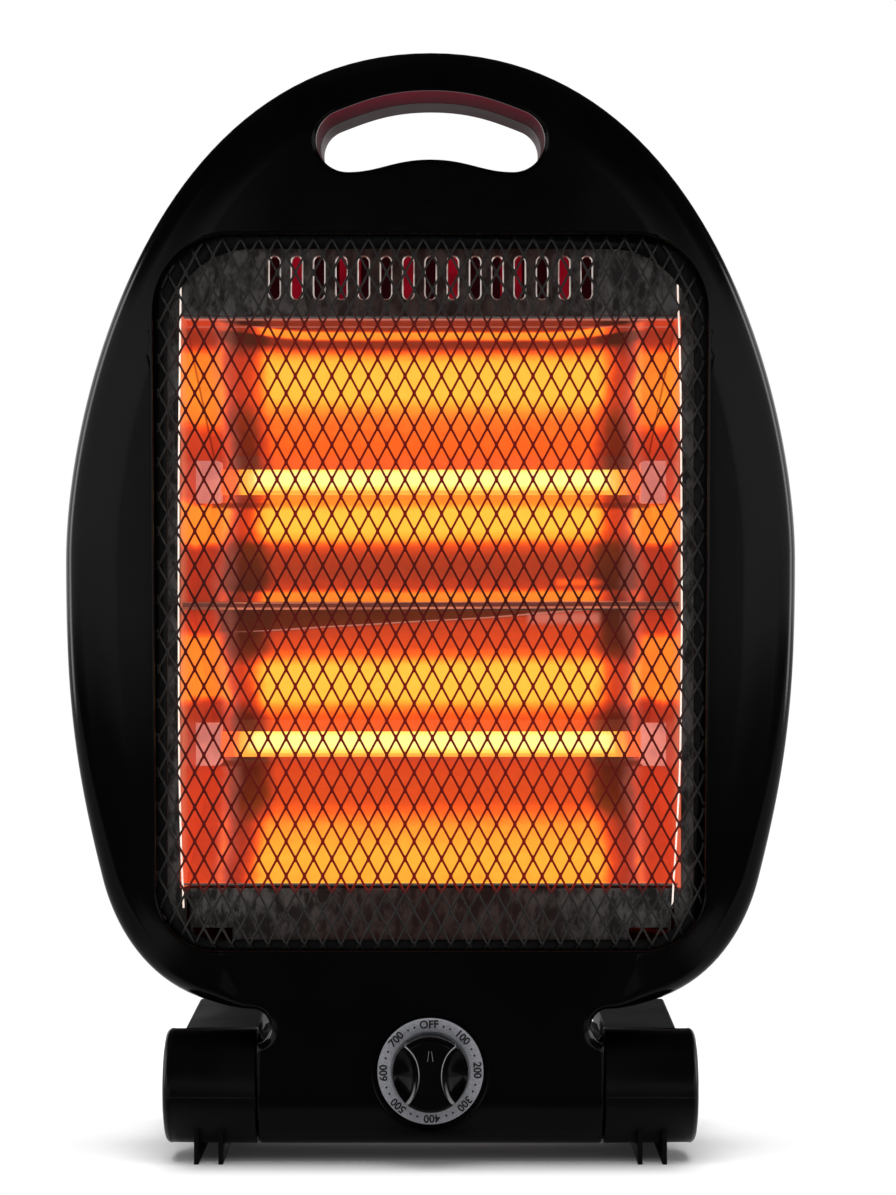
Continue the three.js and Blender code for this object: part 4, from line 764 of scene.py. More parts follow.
def end_paint():
    """End plates: the same painted glow, with painted lines of highlight or shade along their creases."""
    n = Nodes("end_plate_glow")
    x, y, z = n.axes()
    ax = abs(x)
    cloud = n.noise(60, 3, 0.6, (1, 1, 0.5))
    mottle = n.noise(240, 5, 0.7)
    glow_level = glow_bands(n, z + n.straight(cloud, 0.25, 0.75, -0.002, 0.002), PLATE_BANDS)
    glow_level = n.math("ADD", glow_level, n.straight(mottle, 0.25, 0.75, -0.04, 0.04), clamp=True)
    colour = n.ramp(glow_level, GLOW_COLOURS, "LINEAR")
    for low, high, x_low, x_high, dark in CREASES:
        crease = n.straight(z, low / 1000, high / 1000, x_low / 1000, x_high / 1000)
        on = line(n, ax - crease, 0, 0.3) * patch(n, ax, z, 80, 99, low, high, 0.5)
        colour = n.mix(on * 0.75, colour, linear(90, 24, 16) if dark else linear(250, 176, 120))
    # a painted highlight along the plates' outer edge
    colour = n.mix(n.span(ax, 0.0935, 0.0962) * 0.3, colour, linear(236, 150, 116))
    return painted_glow_sheet(n, colour, mottle, n.bump(cloud, 0.25, 0.0008))


def tube_glow():
    """Quartz that carries the light of the winding, brightest along its top and dull red beyond the winding."""
    n = Nodes("quartz_glow")
    x, y, z = n.axes()
    low, apart = TUBES["lower"] / 1000, (TUBES["upper"] - TUBES["lower"]) / 1000
    across = n.math("PINGPONG", z - (low - apart / 2), apart) - apart / 2
    across = across * n.span(z, 0.2, 0.21, 1, -1)  # height over the middle of either tube
    ripple = n.noise(420, 2, 0.5, (1, 0.1, 0.1))
    colour = n.ramp(n.straight(across, -0.005, 0.005), [
        (0.0, linear(255, 158, 52)), (0.13, linear(255, 172, 56)), (0.2, linear(255, 222, 84)),
        (0.45, linear(255, 252, 146)), (0.8, linear(255, 252, 150)), (1.0, linear(255, 232, 104)),
    ])
    reach = abs(x) + n.span(ripple, 0.3, 0.7, -0.001, 0.001)
    colour = n.mix(n.span(reach, 0.067, 0.0735), colour, linear(255, 172, 52))
    colour = n.mix(n.span(reach, 0.0725, 0.078), colour, linear(255, 92, 40))
    return n.principled(
        Base_Color=(0.3, 0.16, 0.08),
        Roughness=0.15,
        Emission_Color=colour,
        Emission_Strength=1.0,
        Normal=n.bump(ripple, 0.1, 0.0002),
    )


def ceramic_paint():
    n = Nodes("steatite_painted_glow")
    speck = n.noise(900, 4, 0.7)
    cloud = n.span(n.noise(70, 3, 0.5), 0.3, 0.7)
    base = n.mix(cloud, linear(150, 110, 104), linear(176, 132, 124))
    return n.principled(
        Base_Color=n.mix(n.span(speck, 0.6, 0.75, 0, 0.4), base, linear(120, 84, 76)),
        Roughness=0.75,
        # painted glow: emission stands in for the tubes' light falling on the ceramic
        Emission_Color=n.mix(cloud, linear(176, 92, 84), linear(206, 112, 96)),
        Emission_Strength=1.0,
        Normal=n.bump(speck, 0.2, 0.0003),
    )


def edge_highlight_paint():
    """Cut edge of the bright sheet, with a painted highlight as emission for the lamps and the glow that it catches."""
    n = Nodes("cut_edge_painted_highlight")
    streak = n.span(n.noise(500, 2, 0.5, (1, 1, 0.2)), 0.3, 0.7)
    return n.principled(
        Base_Color=(0.8, 0.76, 0.72),
        Metallic=0.3,
        Roughness=0.4,
        # painted highlight: white emission
        Emission_Color=n.mix(streak, linear(255, 222, 200), linear(255, 240, 228)),
        Emission_Strength=0.85,
    )


def seam_paint(name, dark, light):
    n = Nodes(name)
    x, y, z = n.axes()
    colour = n.mix(n.span(n.noise(260, 3, 0.6, (0.2, 1, 1)), 0.3, 0.7), dark, light)
    return n.principled(
        Base_Color=(0.1, 0.06, 0.05),
        Metallic=0.5,
        Roughness=0.4,
        # painted glow: emission stands in for the glow reflected on the lips and joint, duller towards the ends
        Emission_Color=n.mix(n.span(abs(x), 0.068, 0.092, 0, 0.6), colour, linear(96, 48, 40)),
        Emission_Strength=0.95,
    )


def vent_rim_paint():
    """Rolled steel rims of the vents, with a painted highlight as emission where they run upright and a dimmer rosy
    painted glow at their ends.
    """
    n = Nodes("vent_rim_steel")
    # painted highlight on the upright sides
    upright = n.span(abs(n.normal()[0]), 0.35, 0.7)
    streak = n.noise(420, 3, 0.7, (1, 1, 0.35))
    bright = n.mix(n.span(streak, 0.35, 0.6), linear(120, 100, 92), linear(240, 232, 224))
    return n.principled(
        Base_Color=(0.4, 0.38, 0.36),
        Metallic=0.9,
        Roughness=n.span(streak, 0.3, 0.7, 0.25, 0.4),
        Emission_Color=n.mix(upright, linear(92, 50, 44), bright),
        Emission_Strength=0.8,
    )


def baffle_paint():
    """Black plate whose raised ribs are maroon, with a painted crimson glow on the ribs for the glow that they catch.
    """
    n = Nodes("baffle_maroon")
    x, y, z = n.axes()
    plate_y = (BAFFLE_Y + SHIFT) / 1000
    rib = n.span(y, plate_y - 0.0021, plate_y - 0.0003, 1, 0)
    red = n.mix(n.span(n.noise(60, 3, 0.6), 0.3, 0.7), linear(84, 6, 16), linear(140, 10, 28))
    return n.principled(
        # painted glow on the ribs, a faint one on the plate
        Base_Color=n.mix(rib, (0.004, 0.002, 0.002), linear(120, 14, 32)),
        Roughness=0.45,
        Specular_IOR_Level=0.2,
        Emission_Color=n.mix(rib, linear(30, 2, 6), red),
        Emission_Strength=0.8,
    )


UPPER_GLOW, LOWER_GLOW = glow_paint("upper", UPPER_BANDS, 0.0), glow_paint("lower", LOWER_BANDS, 0.062)
END_GLOW, TUBE_GLOW, CERAMIC = end_paint(), tube_glow(), ceramic_paint()
SEAM_HIGHLIGHT = seam_paint("seam_painted_highlight", linear(168, 84, 60), linear(224, 124, 92))
SEAM_DARK = seam_paint("seam_dark_joint", linear(74, 22, 13), linear(110, 34, 17))
EDGE_HIGHLIGHT, VENT_RIM, BAFFLE = edge_highlight_paint(), vent_rim_paint(), baffle_paint()


# ------------------------------------------------------------------ front shell
def rolled(outline, r, y, away, n, inset=0.0):
    """Rings of an edge rolled over with radius r to a face at y, from the wall that lies on the side away."""
    return [(offset(outline, inset + r * (1 - math.cos(a))), y + away * r * (1 - math.sin(a))) for a in quarter(n)]


def neck_front(name, inset, back, top):
    """The neck's front half, turned under at the bottom, with softly rounded side edges."""
    r = BARREL - inset
    under = bend(PIVOT_Y, PIVOT_Z, r, quarter(33, math.pi, 1.5 * math.pi))
    view = [(back, top), (PIVOT_Y - r, top), *under, (back, PIVOT_Z - r)]
    return side_solid(name, view, NECK - inset, NECK_RIM if inset < WALL else 0)


def cut_notches(target, y0, y1, widen=0.0):
    for side in SIDES:
        cut(target, rod("notch", NOTCH_R + widen, y0, y1, (side * NOTCH_X, 0, NOTCH_Z), steps=64))


def flared(name, outline, y_back, flare):
    """Cutter for an opening in the face whose edge is rolled over by flare."""
    wide = offset(outline, -flare - 0.8)
    edge = [(offset(outline, -flare * (1 - math.sin(a))), FACE + flare * (1 - math.cos(a))) for a in quarter(7)]
    return loft(name, [(wide, FACE - 6), (wide, FACE - 0.02), *edge, (outline, y_back)])


def front_shell():
    outline, rim = front_outline()
    weight = np.clip((rim - NOTCH_RIM) / (RIM - NOTCH_RIM), 0, 1)
    crown = CROWN * weight
    rings = [(outline, 0.0)] + rolled(outline, rim, FACE + crown, 1, 15)
    for t in (0.25, 0.5, 0.75, 1.0):
        rings.append((offset(outline, rim + (0.4 + 11.6 * weight) * t), FACE + crown * (1 - t) ** 2))
    shell = loft("front_shell_skin", rings)
    add(shell, neck_front("neck", 0.012, 0.0, 44.0))
    inside = offset(egg(16), WALL)
    hollow = loft("hollow", [(inside, 5.0), (inside, FACE + 9), (offset(egg(16), 9), FACE + WALL + CROWN)])
    neck_hollow = neck_front("neck_hollow", WALL, 5.0, 78.0)
    cut_notches(neck_hollow, FACE - 20, 20, WALL)
    cut(shell, hollow, neck_hollow)
    add(shell, prism("window_wall", window(-2.0), FACE + 1.3, GUARD_Y - GAP))
    add(shell, prism("slot_collar", offset(slot(), -4.8), FACE + WALL / 2, FACE + 10))
    add(shell, rod("plinth", 23.2, 0, 4.4, (0, FACE, DIAL_Z), steps=96))
    cut(shell, flared("window_hole", window(0), GUARD_Y + 5, 1.1))
    cut(shell, flared("slot_hole", slot(), FACE + 3.2, 1.8))
    cut(shell, prism("liner_seat", offset(slot(), -2.3), FACE + WALL, 10))
    seat = [(21.8 + 0.8 * (1 - math.sin(a)), 0.8 * (1 - math.cos(a))) for a in quarter(5, 0.2)]
    seat = [(0, -6), (22.6, -6), (22.6, 0), *seat, (21.8, 1.8), (3.6, 1.8), (3.6, 12), (0, 12)]
    cut(shell, turned("dial_seat", seat, (0, FACE, DIAL_Z)))
    for side in SIDES:
        cut(shell, rod("pin_bore", 5.3, -4, 10, (side * (NECK - 5), PIVOT_Y, PIVOT_Z), (side, 0, 0)))
    lip = [(2.4, -3.0), (2.4, -0.1), (2.75, 0.15), (2.75, 2.6), (3.6, 2.6), (3.6, -3.0)]
    add(shell, loft("parting_lip", [(offset(egg(), inset), y) for inset, y in lip], closed=True))
    smooth(shell, 30)
    finish(shell, BLACK, "black_plastic", "front_shell")


# ------------------------------------------------------------------ guard
def folded(points):
    """Points of the flat mesh laid over its folded edge, and how far beyond the fold line they lay."""
    half, bottom, top, low_r, high_r = WINDOW
    half, bottom, top = half - GUARD_INSET, bottom + GUARD_INSET * 0.7, top - GUARD_INSET
    x, z = np.asarray(points, float).T
    upper = z > (top + bottom) / 2
    corner = np.where(upper, high_r - GUARD_INSET, low_r - GUARD_INSET * 0.7)
    dx = np.maximum(np.abs(x) - (half - corner), 0)
    dz = np.where(upper, np.maximum(z - (top - corner), 0), np.maximum(bottom + corner - z, 0))
    foot_x = np.where(dx > 0, np.sign(x) * (half - corner), x)
    foot_z = np.where(dz > 0, np.where(upper, top - corner, bottom + corner), z)
    reach = np.hypot(dx, dz)
    beyond = reach - corner
    turn = np.clip(beyond / FOLD, 0, math.pi / 2)
    scale = (corner + FOLD * np.sin(turn)) / np.maximum(reach, 1e-9)
    laid = [foot_x + (x - foot_x) * scale, FOLD * (1 - np.cos(turn)), foot_z + (z - foot_z) * scale]
    out = np.where(beyond > 0, laid, [x, np.zeros(len(x)), z]).T
    out[:, 1] += GUARD_Y + 1.0
    return out, beyond


def strand_rings(points):
    """Sections of a flat ribbon with bevelled edges along points."""
    ahead = unit(np.gradient(points, axis=0))
    normal = np.cross(ahead, np.cross(FORWARD, ahead))
    normal[np.linalg.norm(normal, axis=1) < 1e-3] = X_AXIS
    normal = unit(normal)
    across = np.cross(ahead, normal)
    corners = [(-1, 0.72), (-0.72, 1), (0.72, 1), (1, 0.72), (1, -0.72), (0.72, -1), (-0.72, -1), (-1, -0.72)]
    return [
        [p + a * u * STRAND / 2 + b * v * STRAND * 0.42 for u, v in corners]
        for p, a, b in zip(points, across, normal)
    ]


def guard_mesh():
    """Diamond mesh: strands bent a little at every knot, with a bond where two of them run together."""
    half, bottom, top = WINDOW[0] + 8, WINDOW[1] - 8, WINDOW[2] + 8
    width, height = CELL
    slope = width / height
    left, middle = GUARD_SHIFT[0], (WINDOW[1] + WINDOW[2]) / 2 + GUARD_SHIFT[1]
    count = int((half + (top - bottom) / 2 * slope) / width) + 1
    run = np.arange(bottom - middle, top - middle, height / 16)
    run = np.unique(np.concatenate([run, np.arange(-12, 13) * height]))
    verts, faces = [], []

    def stack(rings):
        faces.extend(skin_faces(len(rings), len(rings[0]), len(verts)))
        verts.extend(np.vstack(rings))

    for i in range(-count, count + 1):
        for lean in (1, -1):
            points, beyond = folded(np.column_stack([left + i * width + lean * slope * run, middle + run]))
            inside = np.nonzero(beyond < FOLD * 1.35)[0]
            if len(inside) < 3:
                continue
            kept = slice(inside[0], inside[-1] + 1)
            points, beyond = points[kept], beyond[kept]
            points[:, 1] += 0.16 * lean * np.cos(2 * math.pi * run[kept] / height) * (beyond < 0)
            needed = (beyond > -3) | (np.arange(len(points)) % 4 == 0)
            needed[[0, -1]] = True
            stack(strand_rings(points[needed]))
    knots = [
        (left + i * width / 2, middle + j * height / 2)
        for i in range(-count * 2, count * 2 + 1) for j in range(-28, 29) if (i + j) % 2 == 0
    ]
    centres, beyond = folded(knots)
    w, h, d = 0.74, 1.45, 0.42  # half sizes of a bond
    right = [(w * 0.5, -h * 0.6), (w, 0), (w * 0.5, h * 0.6)]
    bond = [(0, -h), *right, (0, h), *[(-x, z) for x, z in right[::-1]]]
    for centre in centres[beyond <= -0.5]:
        stack([[centre + (x, y, z) for x, z in bond] for y in (-d, d)])
    mesh = mesh_object("guard_mesh", np.array(verts), faces)
    smooth(mesh, 50, False)
    finish(mesh, guard_paint(), "black_steel", "guard_grille")


def guard_frame():
    """Black ring behind the folded edge of the mesh."""
    half, bottom, top = WINDOW[:3]
    hole = rounded(half - 4.4, bottom + 3.4, top - 4.8, 20, 32, 18)
    front, collar = GUARD_Y + 4.6, GUARD_Y + 6.0
    ring = prism("guard_frame_ring", window(-4.6), front, PANEL_Y - GAP)
    cut(ring, prism("hole", hole, front - 5, collar + 20), prism("room", window(-3.4), collar, PANEL_Y + 5))
    round_edges(ring, 0.3)
    smooth(ring, 40, False)
    finish(ring, BLACK_SOFT, "black_steel", "guard_frame")


# ------------------------------------------------------------------ panel with rolled vents
def panel():
    sheet = prism("panel_sheet", rounded(118, 81, 360, 30, 40, 10), PANEL_Y, PANEL_Y + 0.8)
    half, through = MOUTH + GAP, (PANEL_Y - 5, PANEL_Y + 5)
    cut(sheet, box("mouth", -half, half, *through, MOUTH_BOTTOM, MOUTH_TOP))
    # section of a vent's rim: inward from the hole's edge, and behind the panel's front
    section = [
        (-0.16, 0), (-0.08, -0.24), (0.1, -0.3), (0.28, -0.1), (0.34, 1.6), (0.02, 1.6), (0.02, 0.5), (-0.16, 0.5),
    ]
    rims = []
    for i in range(-7, 8):
        hole = capsule(i * VENT_PITCH, VENT_Z, VENT_WIDTH, VENT_HEIGHT)
        cut(sheet, prism("vent", hole, *through))
        rims.append(loft("rim", [(offset(hole, inset), PANEL_Y + y) for inset, y in section], closed=True))
    for side in SIDES:
        cut(sheet, box("hook", side * 84 - 7.5, side * 84 + 7.5, *through, 83.2, 89.7))
        cut(sheet, box("gap", side * 93.4 - 0.7, side * 93.4 + 0.7, *through, 86, 102))
    smooth(sheet, 30, False)
    finish(sheet, panel_paint(), "grey_steel", "inner_panel")
    rim = merge("vent_rims", rims)
    smooth(rim, 50, False)
    finish(rim, VENT_RIM, "bright_steel")


# ------------------------------------------------------------------ strips, baffle and tubes
def ribbon(name, points, width, clear, material):
    """Thin upright strip along points (x, z) of the front view, that ends clear of the panel's front."""
    ahead = unit(np.gradient(points, axis=0))
    across = np.column_stack([-ahead[:, 1], ahead[:, 0]]) * width / 2
    strip = prism(name, np.vstack([points - across, (points + across)[::-1]]), PANEL_Y - 0.3, PANEL_Y - clear)
    round_edges(strip, 0.08)
    finish(strip, material, "bright_steel")


def edge_strips():
    """Folded edges of the end plates along the mouth, painted bright as a highlight, a little wavy as bent by hand."""
    heights = [MOUTH_BOTTOM - 7.5, MOUTH_BOTTOM + 4, 150, 205, 262, 310, MOUTH_TOP + 4, MOUTH_TOP + 12]
    z = np.linspace(heights[0], heights[-1], 60)
    for name, run in (
        ("left", [-95.0, -95.9, -97.0, -97.2, -97.2, -96.7, -96.5, -96.3]),
        ("right", [92.9, 93.9, 96.2, 96.9, 96.7, 96.3, 95.5, 95.1]),
    ):
        x = np.convolve(np.pad(np.interp(z, heights, run), 3, "edge"), np.ones(7) / 7, "valid")
        ribbon(f"{name}_edge_strip", np.column_stack([x, z]), 0.66, 0.04, EDGE_HIGHLIGHT)


def seam_strips():
    """Folded lips of the two reflectors where they meet: a dark joint between two edges with a painted highlight, all
    three with a painted glow.
    """
    x = np.linspace(0.8 - MOUTH, MOUTH - 0.8, 25)
    sag = 0.25 * np.sin(x / 40)
    for name, z, width, material in (
        ("seam_upper_lip", 215.15, 0.4, SEAM_HIGHLIGHT), ("seam_joint", 214.2, 1.5, SEAM_DARK),
        ("seam_lower_lip", 212.95, 0.85, SEAM_HIGHLIGHT),
    ):
        ribbon(name, np.column_stack([x, z + sag]), width, 0.05, material)


def vent_baffle():
    """Dark plate with maroon ribs behind the vents of the panel; its black stands in for the shade inside and the ribs
    carry a painted glow.
    """
    plate = prism("vent_baffle", rounded(74, 330, 361.5, 5, 5, 6), BAFFLE_Y, BAFFLE_Y + 1.2)
    for k in range(6):
        add(plate, prism("rib", capsule(k * 21.63 - 54.4, 346.4, 8.6, 27), BAFFLE_Y - 2.2, BAFFLE_Y + 0.3))
    smooth(plate, 35, False)
    finish(plate, BAFFLE, "maroon_plastic")


def tubes():
    half = TUBE_HALF
    wall = [(4.0, -half), (4.8, -half), (5.0, 0.2 - half), (5.0, half - 0.2), (4.8, half), (4.0, half), (4.0, -half)]
    for level, z in TUBES.items():
        tube = turned(f"{level}_quartz_tube", wall, (0, TUBE_Y, z), X_AXIS, 48)
        smooth(tube, 40, False)
        finish(tube, TUBE_GLOW, "quartz", f"{level}_tube")


# ------------------------------------------------------------------ rear cover and liner
def rear_box(inset, front, n=9):
    r = 34 - inset
    outline = rounded(114 - inset, 74 + inset, 366 - inset, r, r, 14)
    return loft("rear_box", [(outline, front)] + rolled(outline, 8 - inset, 42 - inset, -1, n))


def rear_skin(name, inset, front, n=9):
    edge = rolled(egg(), REAR_RIM - inset - GAP, REAR_RIM - inset, -1, n, inset)
    return loft(name, [(offset(egg(), inset), front)] + edge)


def rear_neck(name, inset, front):
    r, back, bottom = 20 - inset, 26 - inset, PIVOT_Z - BARREL + inset
    corner = bend(back - r, bottom + r, r, quarter(17, -math.pi / 2, 0))
    return side_solid(name, [(front, bottom), *corner, (back, 98), (front, 98)], NECK - inset, 0 if inset else 1.6)


def sleeve_outline(y, inset=0.0):
    """Outline of the carrying slot's sleeve at depth y; it narrows to the back."""
    return offset(slot(), inset + 1.4 * (y - FACE) / (REAR_RIM - FACE))


def rear_surface(z):
    return 26.0 if z < 78 else REAR_RIM


def rear_cover():
    neck = rear_neck("neck", 0, GAP)
    cut_notches(neck, -5, 40)
    cover = rear_skin("rear_cover_skin", 0, GAP)
    add(cover, rear_box(0, GAP), neck)
    neck_hollow = rear_neck("neck_hollow", WALL, GAP - 2)
    cut_notches(neck_hollow, -5, 40, WALL)
    cut(cover, rear_skin("hollow", WALL, GAP - 2, 4), rear_box(WALL, GAP - 2, 4), neck_hollow)
    add(cover, loft("sleeve", [(sleeve_outline(y, -2), y) for y in (-11.9, REAR_RIM)]))
    cut(cover, loft("bore", [(sleeve_outline(y), y) for y in (-30, REAR_RIM + 5)]))
    for x, z in REAR_SCREWS:
        y = rear_surface(z)
        add(cover, rod("boss", 4.6, GAP, y - GAP, (x, 0, z), steps=24))
        well = [(0, -5), (2, -5), (2, y - 3), (3.9, y - 3), (3.9, y - 0.4), (4.3, y + 0.01), (4.3, y + 5), (0, y + 5)]
        cut(cover, turned("well", well, (x, 0, z), steps=32))
    for z, height in ((332, 26), (104, 20)):
        for i in range(-4, 5):
            cut(cover, prism("vent", capsule(i * 14, z, 5, height), 30, 50))
    cut(cover, rod("gland_hole", 5.5, 15, 40, GLAND))
    smooth(cover, 30)
    finish(cover, MAROON, "maroon_plastic", "rear_cover")


def handle_liner():
    front, deep = FACE + WALL + GAP, 24.7
    back = front + deep
    end = sleeve_outline(back)
    liner = loft("handle_liner_skin", [
        (offset(slot(), -2.0), front), (offset(slot(), -0.35), front), (slot(), front + 0.35),
        (end, back - 0.35), (offset(end, -0.35), back), (sleeve_outline(back, -2), back),
    ], closed=True)
    smooth(liner, 35)
    finish(liner, MAROON_LINER, "maroon_plastic", "handle_liner")


# ------------------------------------------------------------------ dial and knob
def word_mesh(word, position, angle):
    """Raised print that stands in the front view and is turned by angle."""
    curve = bpy.data.curves.new("word", "FONT")
    curve.body = word
    curve.align_x, curve.align_y = "CENTER", "CENTER"
    curve.size = 0.0042
    curve.extrude = 0.00012
    curve.resolution_u = 4
    curve.offset = 0.00009
    flat = link(bpy.data.objects.new("word", curve))
    graph = bpy.context.evaluated_depsgraph_get()
    mesh = bpy.data.meshes.new_from_object(flat.evaluated_get(graph))
    bpy.data.objects.remove(flat)
    upright = Matrix.Rotation(math.radians(90), 4, "X")
    mesh.transform(Matrix.Translation(Vector(place([position])[0])) @ Matrix.Rotation(angle, 4, "Y") @ upright)
    return link(bpy.data.objects.new("word", mesh))


def dial():
    inner, t, back = 12.6, DIAL_THICK, DIAL_SEAT - GAP
    profile = [(inner, 0), (DIAL_R - 0.2, 0), (DIAL_R, 0.2), *bend(DIAL_R - 0.5, t - 0.5, 0.5, quarter(5))]
    profile += [(15.5, t), (15.2, t - 0.08), (14.75, t - 0.5), (14.7, t - 0.9), (inner, t - 0.9), (inner, 0)]
    ring = turned("dial_ring_plate", profile, (0, back, DIAL_Z), FORWARD, 128)
    smooth(ring, 35, False)
    finish(ring, DIAL_GREY, "dial_grey", "dial_ring")

    def spot(angle):
        return PRINT_R * math.cos(angle), back - t, DIAL_Z + PRINT_R * math.sin(angle)

    marks = []
    for k, word in enumerate(["OFF", "100", "200", "300", "400", "500", "600", "700"]):
        angle = math.pi / 2 - k * math.pi / 4 + 0.03
        marks.append(word_mesh(word, spot(angle), math.pi / 2 - angle))
        for step in (-0.075, 0.075):
            marks.append(rod("dot", 0.42, -0.1, 0.08, spot(angle - math.pi / 8 + step), FORWARD, 12))
    finish(merge("dial_print", marks), PRINT, "black_plastic")


def knob():
    r, deep, centre = KNOB_R, KNOB_DEEP, (0, KNOB_BACK, DIAL_Z)
    rim = bend(r - 2.2, deep - 2.2, 2.2, quarter(9, 0.15))
    profile = [(0, 0), (r, 0), (r, deep - 2.2), *rim, (r * 0.5, deep), (0, deep)]
    body = turned("knob_cap", profile, centre, FORWARD, 128)
    # a scoop on each side leaves a waisted grip between them
    ball = [(math.cos(a), math.sin(a)) for a in quarter(21, -math.pi / 2)]
    scoop_x, half_x, half_z = SCOOP
    for side in SIDES:
        scoop_centre = (side * scoop_x, KNOB_BACK - deep - 0.4, DIAL_Z - 0.3)
        cut(body, turned("scoop", ball, scoop_centre, steps=48, stretch=(half_x, SCOOP_DEEP, half_z)))
    cut(body, rod("bore", 3.3, -1, 6.5, centre, FORWARD))
    round_edges(body, 0.7, 4, 25)
    smooth(body, 40)
    finish(body, KNOB, "black_plastic", "control_knob", body="knob")
    pointers = [
        skin("pointer", [
            [(side * (0.5 + 0.5 * t) + x, KNOB_BACK - deep - y, DIAL_Z + 9.2 - 3.8 * t)
             for x, y in ((-0.16, -0.1), (0, 0.14), (0.16, -0.1))]
            for t in (0, 0.5, 1)
        ]) for side in SIDES
    ]
    finish(merge("knob_pointer", pointers), DIAL_GREY, "black_plastic", body="knob")


# ------------------------------------------------------------------ feet
def arm_solid(inset, bottom):
    """The foot's arm, whose outer side leans out a little to the back."""
    top, rear, c = PIVOT_Z + BARREL - inset, ARM_REAR - inset, 9 - inset
    view = np.array([(PIVOT_Y, bottom), (rear, bottom), *bend(rear - c, top - c, c, quarter(13)), (PIVOT_Y, top)])
    edge = [(0, 0)]
    if inset == 0:
        soft = 1.2
        edge = [(soft, 0)] + [(soft * (1 - math.sin(a)), soft * (1 - math.cos(a))) for a in quarter(4, 0.3)]
    near, far = [], []
    for shrink, run in edge:
        p = offset(view, shrink)
        near.append((p, NECK + 0.9 + inset + run))
        far.append((p, ARM_END - inset + 1.3 * (p[:, 0] + 18.8) / 101.8 - run))
    return cross_loft("arm", near + far[::-1])


def foot(side):
    name = "left" if side < 0 else "right"
    hub, top = (0, PIVOT_Y, PIVOT_Z), PIVOT_Z + BARREL
    inner, end, r, skin_r = NECK + GAP + 0.1, FOOT_END, BARREL, BARREL - 2.4
    dome_angles = quarter(7, 0.2, math.pi / 2 - 0.25)
    dome = [(r - 3.0 + 3.0 * math.cos(a) - 0.15, end - 3.7 + 2.7 * math.sin(a)) for a in dome_angles]
    barrel = turned(f"{name}_foot_barrel", [
        (5.3, inner), (8.5, inner), (8.5, end - 4.4), (skin_r, end - 5.4), (skin_r, inner + 0.4), (skin_r + 0.3, inner),
        (r - 0.5, inner), (r, inner + 0.5), (r - 0.35, end - 4.6), *dome,
        (r * 0.75, end - 0.62), (r * 0.4, end - 0.18), (0, end), (0, 93), (5.3, 93), (5.3, inner),
    ], hub, X_AXIS, 128)
    smooth(barrel, 32)

    def room():
        return rod("room", r - 0.4, 60, 110, hub, X_AXIS, 96)

    arm = arm_solid(0, 9)
    cut(arm, arm_solid(2.4, -20), room())
    arm.name = f"{name}_foot_arm"
    for x in RIBS:
        rib = side_solid("rib", [
            (RIB_FRONT, 0), (78.6, 0), (80.8, 4), (80.8, PIVOT_Z), (62, top - 1.2), (PIVOT_Y, top - 1.2),
            (RIB_FRONT, PIVOT_Z),
        ], 0.9)
        rib.data.transform(Matrix.Translation((x / 1000, 0, 0)))
        cut(rib, room())
        round_edges(rib, 0.25)
        add(arm, rib)
    smooth(arm, 32)
    pieces = [barrel, arm]
    if side < 0:
        pieces = [mirrored_copy(piece) for piece in pieces]
        bpy.data.objects.remove(barrel)
        bpy.data.objects.remove(arm)
    finish(pieces[0], HUB, "black_plastic", f"{name}_foot", body=f"{name}_foot")
    finish(pieces[1], FOOT_TOP, "black_plastic", body=f"{name}_foot")


# ------------------------------------------------------------------ small parts
def gland():
    piece = turned("cord_gland_ring", [
        (3.4, 30.2), (3.9, 30.6), (5.3, 30.6), (5.8, 30.2), (6.9, 28.2), (7.1, 27.6), (7.1, 26.3), (5.2, 26.3),
        (5.2, 23.8), (6.6, 23.8), (6.6, 21.5), (3.4, 21.5), (3.4, 30.2),
    ], GLAND, steps=64)
    smooth(piece, 35, False)
    finish(piece, BLACK_SOFT, "black_plastic", "cord_gland")


def screw_heads():
    profile = [
        (0, -12), (0.9, -11), (1.4, -9.5), (1.4, 0), (3.4, 0), (3.6, 0.25), (3.3, 1.1), (2.5, 1.85), (1.4, 2.25),
        (0, 2.3),
    ]
    for k, (x, z) in enumerate(REAR_SCREWS):
        y = rear_surface(z) - 2.7
        head = turned(f"cover_screw_{k + 1}", profile, (x, y, z), steps=48)
        there = Matrix.Translation((x / 1000, y / 1000, z / 1000)) @ Matrix.Translation((0, SHIFT / 1000, 0))
        for turn in (0, math.pi / 2):
            bar = box("slot", -2.1, 2.1, 1.0, 4.0, -0.36, 0.36)
            spin = Matrix.Rotation(turn + 0.4 * k, 4, "Y")
            bar.data.transform(there @ spin @ Matrix.Translation((0, -SHIFT / 1000, 0)))
            cut(head, bar)
        smooth(head, 35, False)
        finish(head, ZINC, "grey_steel", f"rear_screw_{k + 1}")


# ------------------------------------------------------------------ build
front_shell()
guard_mesh()
guard_frame()
panel()
edge_strips()
seam_strips()
vent_baffle()
tubes()
rear_cover()
handle_liner()
dial()
knob()
foot(-1)
foot(1)
gland()
screw_heads()

# looks of the CAD nodes by the end of their names
NODE_PAINTS = (
    (UPPER_GLOW, ("upper_reflector",)),
    (LOWER_GLOW, ("lower_reflector",)),
    (END_GLOW, ("_end_plate",)),
    (STEEL, ("_clip", "_pin")),
    (TUBE_GLOW, ("_coil",)),
    (CERAMIC, ("_cap", "terminal_block")),
    (GREY_PLASTIC, ("rotary_switch", "thermal_cutout", "tip_over_switch")),
)
for node_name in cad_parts:
    look = SLEEVE if node_name.startswith("wire_") else ZINC
    for material, endings in NODE_PAINTS:
        if node_name.endswith(endings):
            look = material
    paint(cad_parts[node_name], look)

# ------------------------------------------------------------------ floor, world and lamps
FLOOR_LIFT = 0.015


